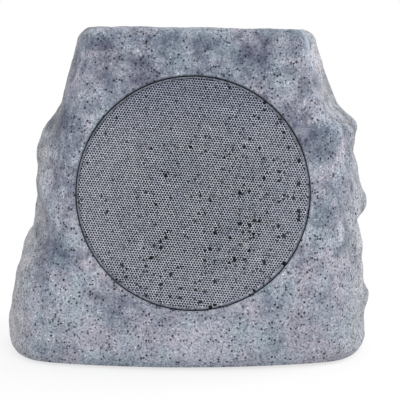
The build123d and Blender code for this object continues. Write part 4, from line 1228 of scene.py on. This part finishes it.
def circuit_board():
    """Green lacquer over tracks, with a faint weave."""
    finish = Finish("board_finish", roughness=0.4, coat_weight=0.3)
    distance, _ = finish.cells(14, (0.2, 0.4, 0.1))
    tracks = finish.between(finish.math("PINGPONG", distance, 2.2), 1.0, 1.3)
    weave = finish.times(finish.noise(0.9, detail=1.0), 0.25)
    base = finish.mix(tracks, colour(30, 92, 58), colour(46, 122, 76))
    return finish.surface(finish.mix(weave, base, colour(20, 60, 40)), finish.bump(tracks, 0.04, 0.5))


def all_finishes():
    """The finish of each material slot."""
    copper = (colour(196, 110, 66), colour(92, 44, 26))
    plastic = (colour(18, 18, 20), colour(13, 13, 15))
    finishes = {
        "rock": rock_finish(),
        "grille_paint": grille_finish(),
        "foam": foam(),
        "cone_plastic": striped("cone_finish", *plastic, 1.6, roughness=0.8, ior_level=0.15),
        "copper": striped("copper_finish", *copper, 0.4, roughness=0.35, metallic=1.0),
        "spider_cloth": woven("spider_finish", colour(190, 140, 72), colour(120, 82, 38), 0.8),
        "ferrite": ferrite(),
        "board": circuit_board(),
    }
    finishes.update({slot: moulded(*values) for slot, *values in MOULDED})
    finishes.update({slot: metal(*values) for slot, *values in METALS})
    return finishes


def paint_nodes(finishes):
    """Gives each piece that comes with the frame the finish of its material slot."""
    for part in frame["record"]["subparts"]:
        mesh = frame["nodes"][part["node"]].data
        mesh.materials.clear()
        mesh.materials.append(finishes[part["material_slot"]])


def place_piece(piece, node, slot, *materials):
    """Puts a piece in the place of a node of the enclosure, with its materials."""
    for material in materials:
        piece.data.materials.append(material)
    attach(piece, "enclosure")
    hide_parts(node)


# Stage

def floor():
    """Pale floor that is white for the camera away from the object, and keeps its shadow near it."""
    half = FLOOR_SIZE / 2
    corners = [(-half, -half, 0), (half, -half, 0), (half, half, 0), (-half, half, 0)]
    piece = new_object("floor", corners, [(0, 1, 2, 3)])
    finish = Finish("floor_finish", roughness=0.9, ior_level=0.1, color=FLOOR_COLOUR)
    rays = finish.node("ShaderNodeLightPath").outputs
    seen = finish.math("ADD", rays["Is Camera Ray"], rays["Is Glossy Ray"])
    seen = finish.math("ADD", seen, rays["Is Transmission Ray"], clamp=True)
    distance = finish.node("ShaderNodeVectorMath", {0: finish.place}, operation="LENGTH").outputs["Value"]
    white = finish.times(seen, finish.along(distance, FLOOR_FADE, FLOOR_GLOW, 1.0))
    glow = finish.node("ShaderNodeEmission").outputs[0]
    blend = finish.node("ShaderNodeMixShader", {0: white, 1: finish.shader.outputs[0], 2: glow})
    finish.put(finish.tree.nodes["Material Output"].inputs["Surface"], blend.outputs[0])
    piece.data.materials.append(finish.material)


def lamp(name, place, sides, power):
    """Rectangular lamp that is aimed at the rock's middle."""
    data = bpy.data.lights.new(name, "AREA")
    data.shape = "RECTANGLE"
    data.size, data.size_y = (side * MM for side in sides)
    data.energy = power
    lit = bpy.data.objects.new(name, data)
    bpy.context.scene.collection.objects.link(lit)
    lit.location = Vector(place) * MM
    aim = Vector((0, 0, ROCK_HEIGHT / 2)) - Vector(place)
    lit.rotation_euler = aim.to_track_quat("-Z", "Y").to_euler()


def sky():
    """White surroundings, white for the camera and softer as a light."""
    world = bpy.data.worlds.new("surroundings")
    bpy.context.scene.world = world
    world.use_nodes = True
    tree = world.node_tree
    background = tree.nodes["Background"]
    background.inputs["Color"].default_value = (1, 1, 1, 1)
    light_path = tree.nodes.new("ShaderNodeLightPath")
    level = tree.nodes.new("ShaderNodeMapRange")
    level.inputs["To Min"].default_value = SKY_STRENGTH
    level.inputs["To Max"].default_value = 1.0
    tree.links.new(light_path.outputs["Is Camera Ray"], level.inputs["Value"])
    tree.links.new(level.outputs["Result"], background.inputs["Strength"])


def camera():
    """The photograph's view: square to the leaning front, a little to the right of the grille's middle."""
    data = bpy.data.cameras.new("camera")
    data.sensor_width = SENSOR_WIDTH
    data.lens = SENSOR_WIDTH * FOCAL_PIXELS / IMAGE_WIDTH
    data.clip_end = VIEW_END * MM
    eye = bpy.data.objects.new("camera", data)
    bpy.context.scene.collection.objects.link(eye)
    aim = Vector((CAMERA_X, FRONT_ORIGIN.y, FRONT_ORIGIN.z)) - CAMERA_DROP * FRONT_UP
    eye.location = (aim + CAMERA_DISTANCE * FRONT_NORMAL) * MM
    eye.rotation_euler = FRONT_NORMAL.to_track_quat("Z", "Y").to_euler()
    bpy.context.scene.camera = eye


finishes = all_finishes()
paint_nodes(finishes)
place_piece(rock(), "rock_shell", "rock", finishes["rock"], bare_moulding())
place_piece(grille(), "grille", "grille_paint", finishes["grille_paint"])
bending_ring("surround", "black_rubber", finishes, surround_outline())
bending_ring("spider", "spider_cloth", finishes, spider_outline())

floor()
sky()
for values in LAMPS:
    lamp(*values)
camera()
bpy.context.scene.view_settings.view_transform = "Standard"

bpy.context.view_layer.update()
